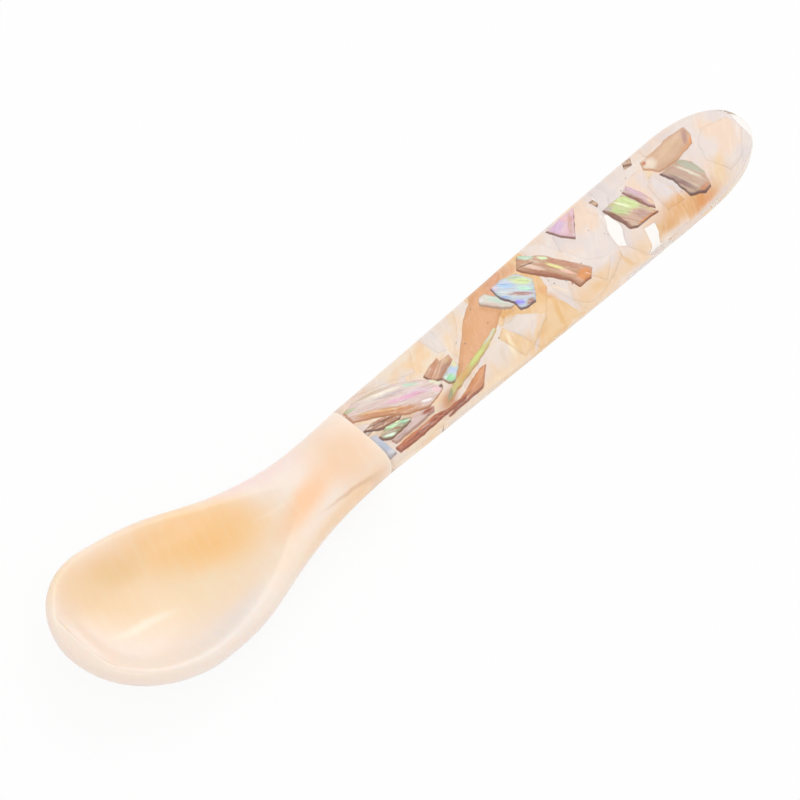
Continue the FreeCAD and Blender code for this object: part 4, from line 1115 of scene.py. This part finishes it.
# Name, place, the point it is aimed at, size and watts.
SOFTBOXES = (
    ("softbox_far", (0.40, 0.22, 0.36), (-0.03, 0, 0), (0.50, 0.70), 0.9),
    ("softbox_near", (-0.25, -0.30, 0.50), (0, 0, 0), (0.40, 0.40), 0.5),
)
# The camera's turn about the upright and its height above the table, in degrees.
CAMERA_TURN = -45.23
CAMERA_HEIGHT = 57.0
# This point of the table, in millimetres, shows at this place of the square photograph, which has
# this many pixels to a millimetre.
TABLE_POINT = (-1.0, -0.96, 0.0)
SHOWN_AT = (406.0, 421.6)
PHOTO_SIDE = 800
PIXELS_PER_MM = 7.42
CAMERA_DISTANCE = 0.6


def make_floor():
    """A white sweep that shows as plain white and takes a faint shadow."""
    bpy.ops.mesh.primitive_plane_add(size=FLOOR_SIZE, location=(0, 0, -FLOOR_DROP))
    floor = bpy.context.object
    floor.name = "studio_floor"
    material = bpy.data.materials.new("studio_white")
    material.use_nodes = True
    tree = material.node_tree
    shader = tree.nodes["Principled BSDF"]
    shader.inputs["Base Color"].default_value = FLOOR_PAINT
    shader.inputs["Roughness"].default_value = 0.9
    glow = tree.nodes.new("ShaderNodeEmission")
    glow.inputs["Color"].default_value = (1, 1, 1, 1)
    share = tree.nodes.new("ShaderNodeMath")
    share.operation = "MULTIPLY"
    share.inputs[1].default_value = FLOOR_GLOW
    tree.links.new(seen_as_white(tree), share.inputs[0])
    mixed = tree.nodes.new("ShaderNodeMixShader")
    tree.links.new(share.outputs[0], mixed.inputs[0])
    tree.links.new(shader.outputs[0], mixed.inputs[1])
    tree.links.new(glow.outputs[0], mixed.inputs[2])
    tree.links.new(mixed.outputs[0], tree.nodes["Material Output"].inputs["Surface"])
    floor.data.materials.append(material)


def make_world():
    """Even light from the whole room, and a pale backdrop past the sweep's end."""
    world = bpy.data.worlds.new("studio")
    bpy.context.scene.world = world
    world.use_nodes = True
    tree = world.node_tree
    light = tree.nodes["Background"]
    light.inputs["Color"].default_value = (1.0, 1.0, 1.0, 1)
    light.inputs["Strength"].default_value = ROOM_LIGHT
    backdrop = tree.nodes.new("ShaderNodeBackground")
    backdrop.inputs["Strength"].default_value = 1.0
    mixed = tree.nodes.new("ShaderNodeMixShader")
    tree.links.new(seen_as_white(tree), mixed.inputs[0])
    tree.links.new(light.outputs[0], mixed.inputs[1])
    tree.links.new(backdrop.outputs[0], mixed.inputs[2])
    tree.links.new(mixed.outputs[0], tree.nodes["World Output"].inputs["Surface"])


def make_softbox(name, place, aim, size, watts):
    """A rectangular lamp at this place, turned towards its aim."""
    data = bpy.data.lights.new(name, "AREA")
    data.shape = "RECTANGLE"
    data.size, data.size_y = size
    data.energy = watts
    lamp = bpy.data.objects.new(name, data)
    lamp.location = place
    lamp.rotation_euler = (Vector(aim) - Vector(place)).to_track_quat("-Z", "Y").to_euler()
    bpy.context.scene.collection.objects.link(lamp)


def make_camera():
    """The photograph's view, without perspective."""
    turn, height = math.radians(CAMERA_TURN), math.radians(CAMERA_HEIGHT)
    back = Vector((math.sin(turn) * math.cos(height), -math.cos(turn) * math.cos(height), math.sin(height)))
    right = Vector((math.cos(turn), math.sin(turn), 0.0))
    up = back.cross(right)
    off_x, off_y = ((PHOTO_SIDE / 2 - shown) / PIXELS_PER_MM for shown in SHOWN_AT)
    aim = Vector(TABLE_POINT) + right * off_x - up * off_y
    data = bpy.data.cameras.new("camera")
    data.type = "ORTHO"
    data.ortho_scale = PHOTO_SIDE / PIXELS_PER_MM * MM
    camera = bpy.data.objects.new("camera", data)
    camera.location = aim * MM + back * CAMERA_DISTANCE
    camera.rotation_euler = Matrix((right, up, back)).transposed().to_euler()
    data.clip_start, data.clip_end = 0.01, 10.0
    bpy.context.scene.collection.objects.link(camera)
    bpy.context.scene.camera = camera


make_spoon()
make_floor()
make_world()
for softbox in SOFTBOXES:
    make_softbox(*softbox)
make_camera()
bpy.context.scene.view_settings.view_transform = "Standard"
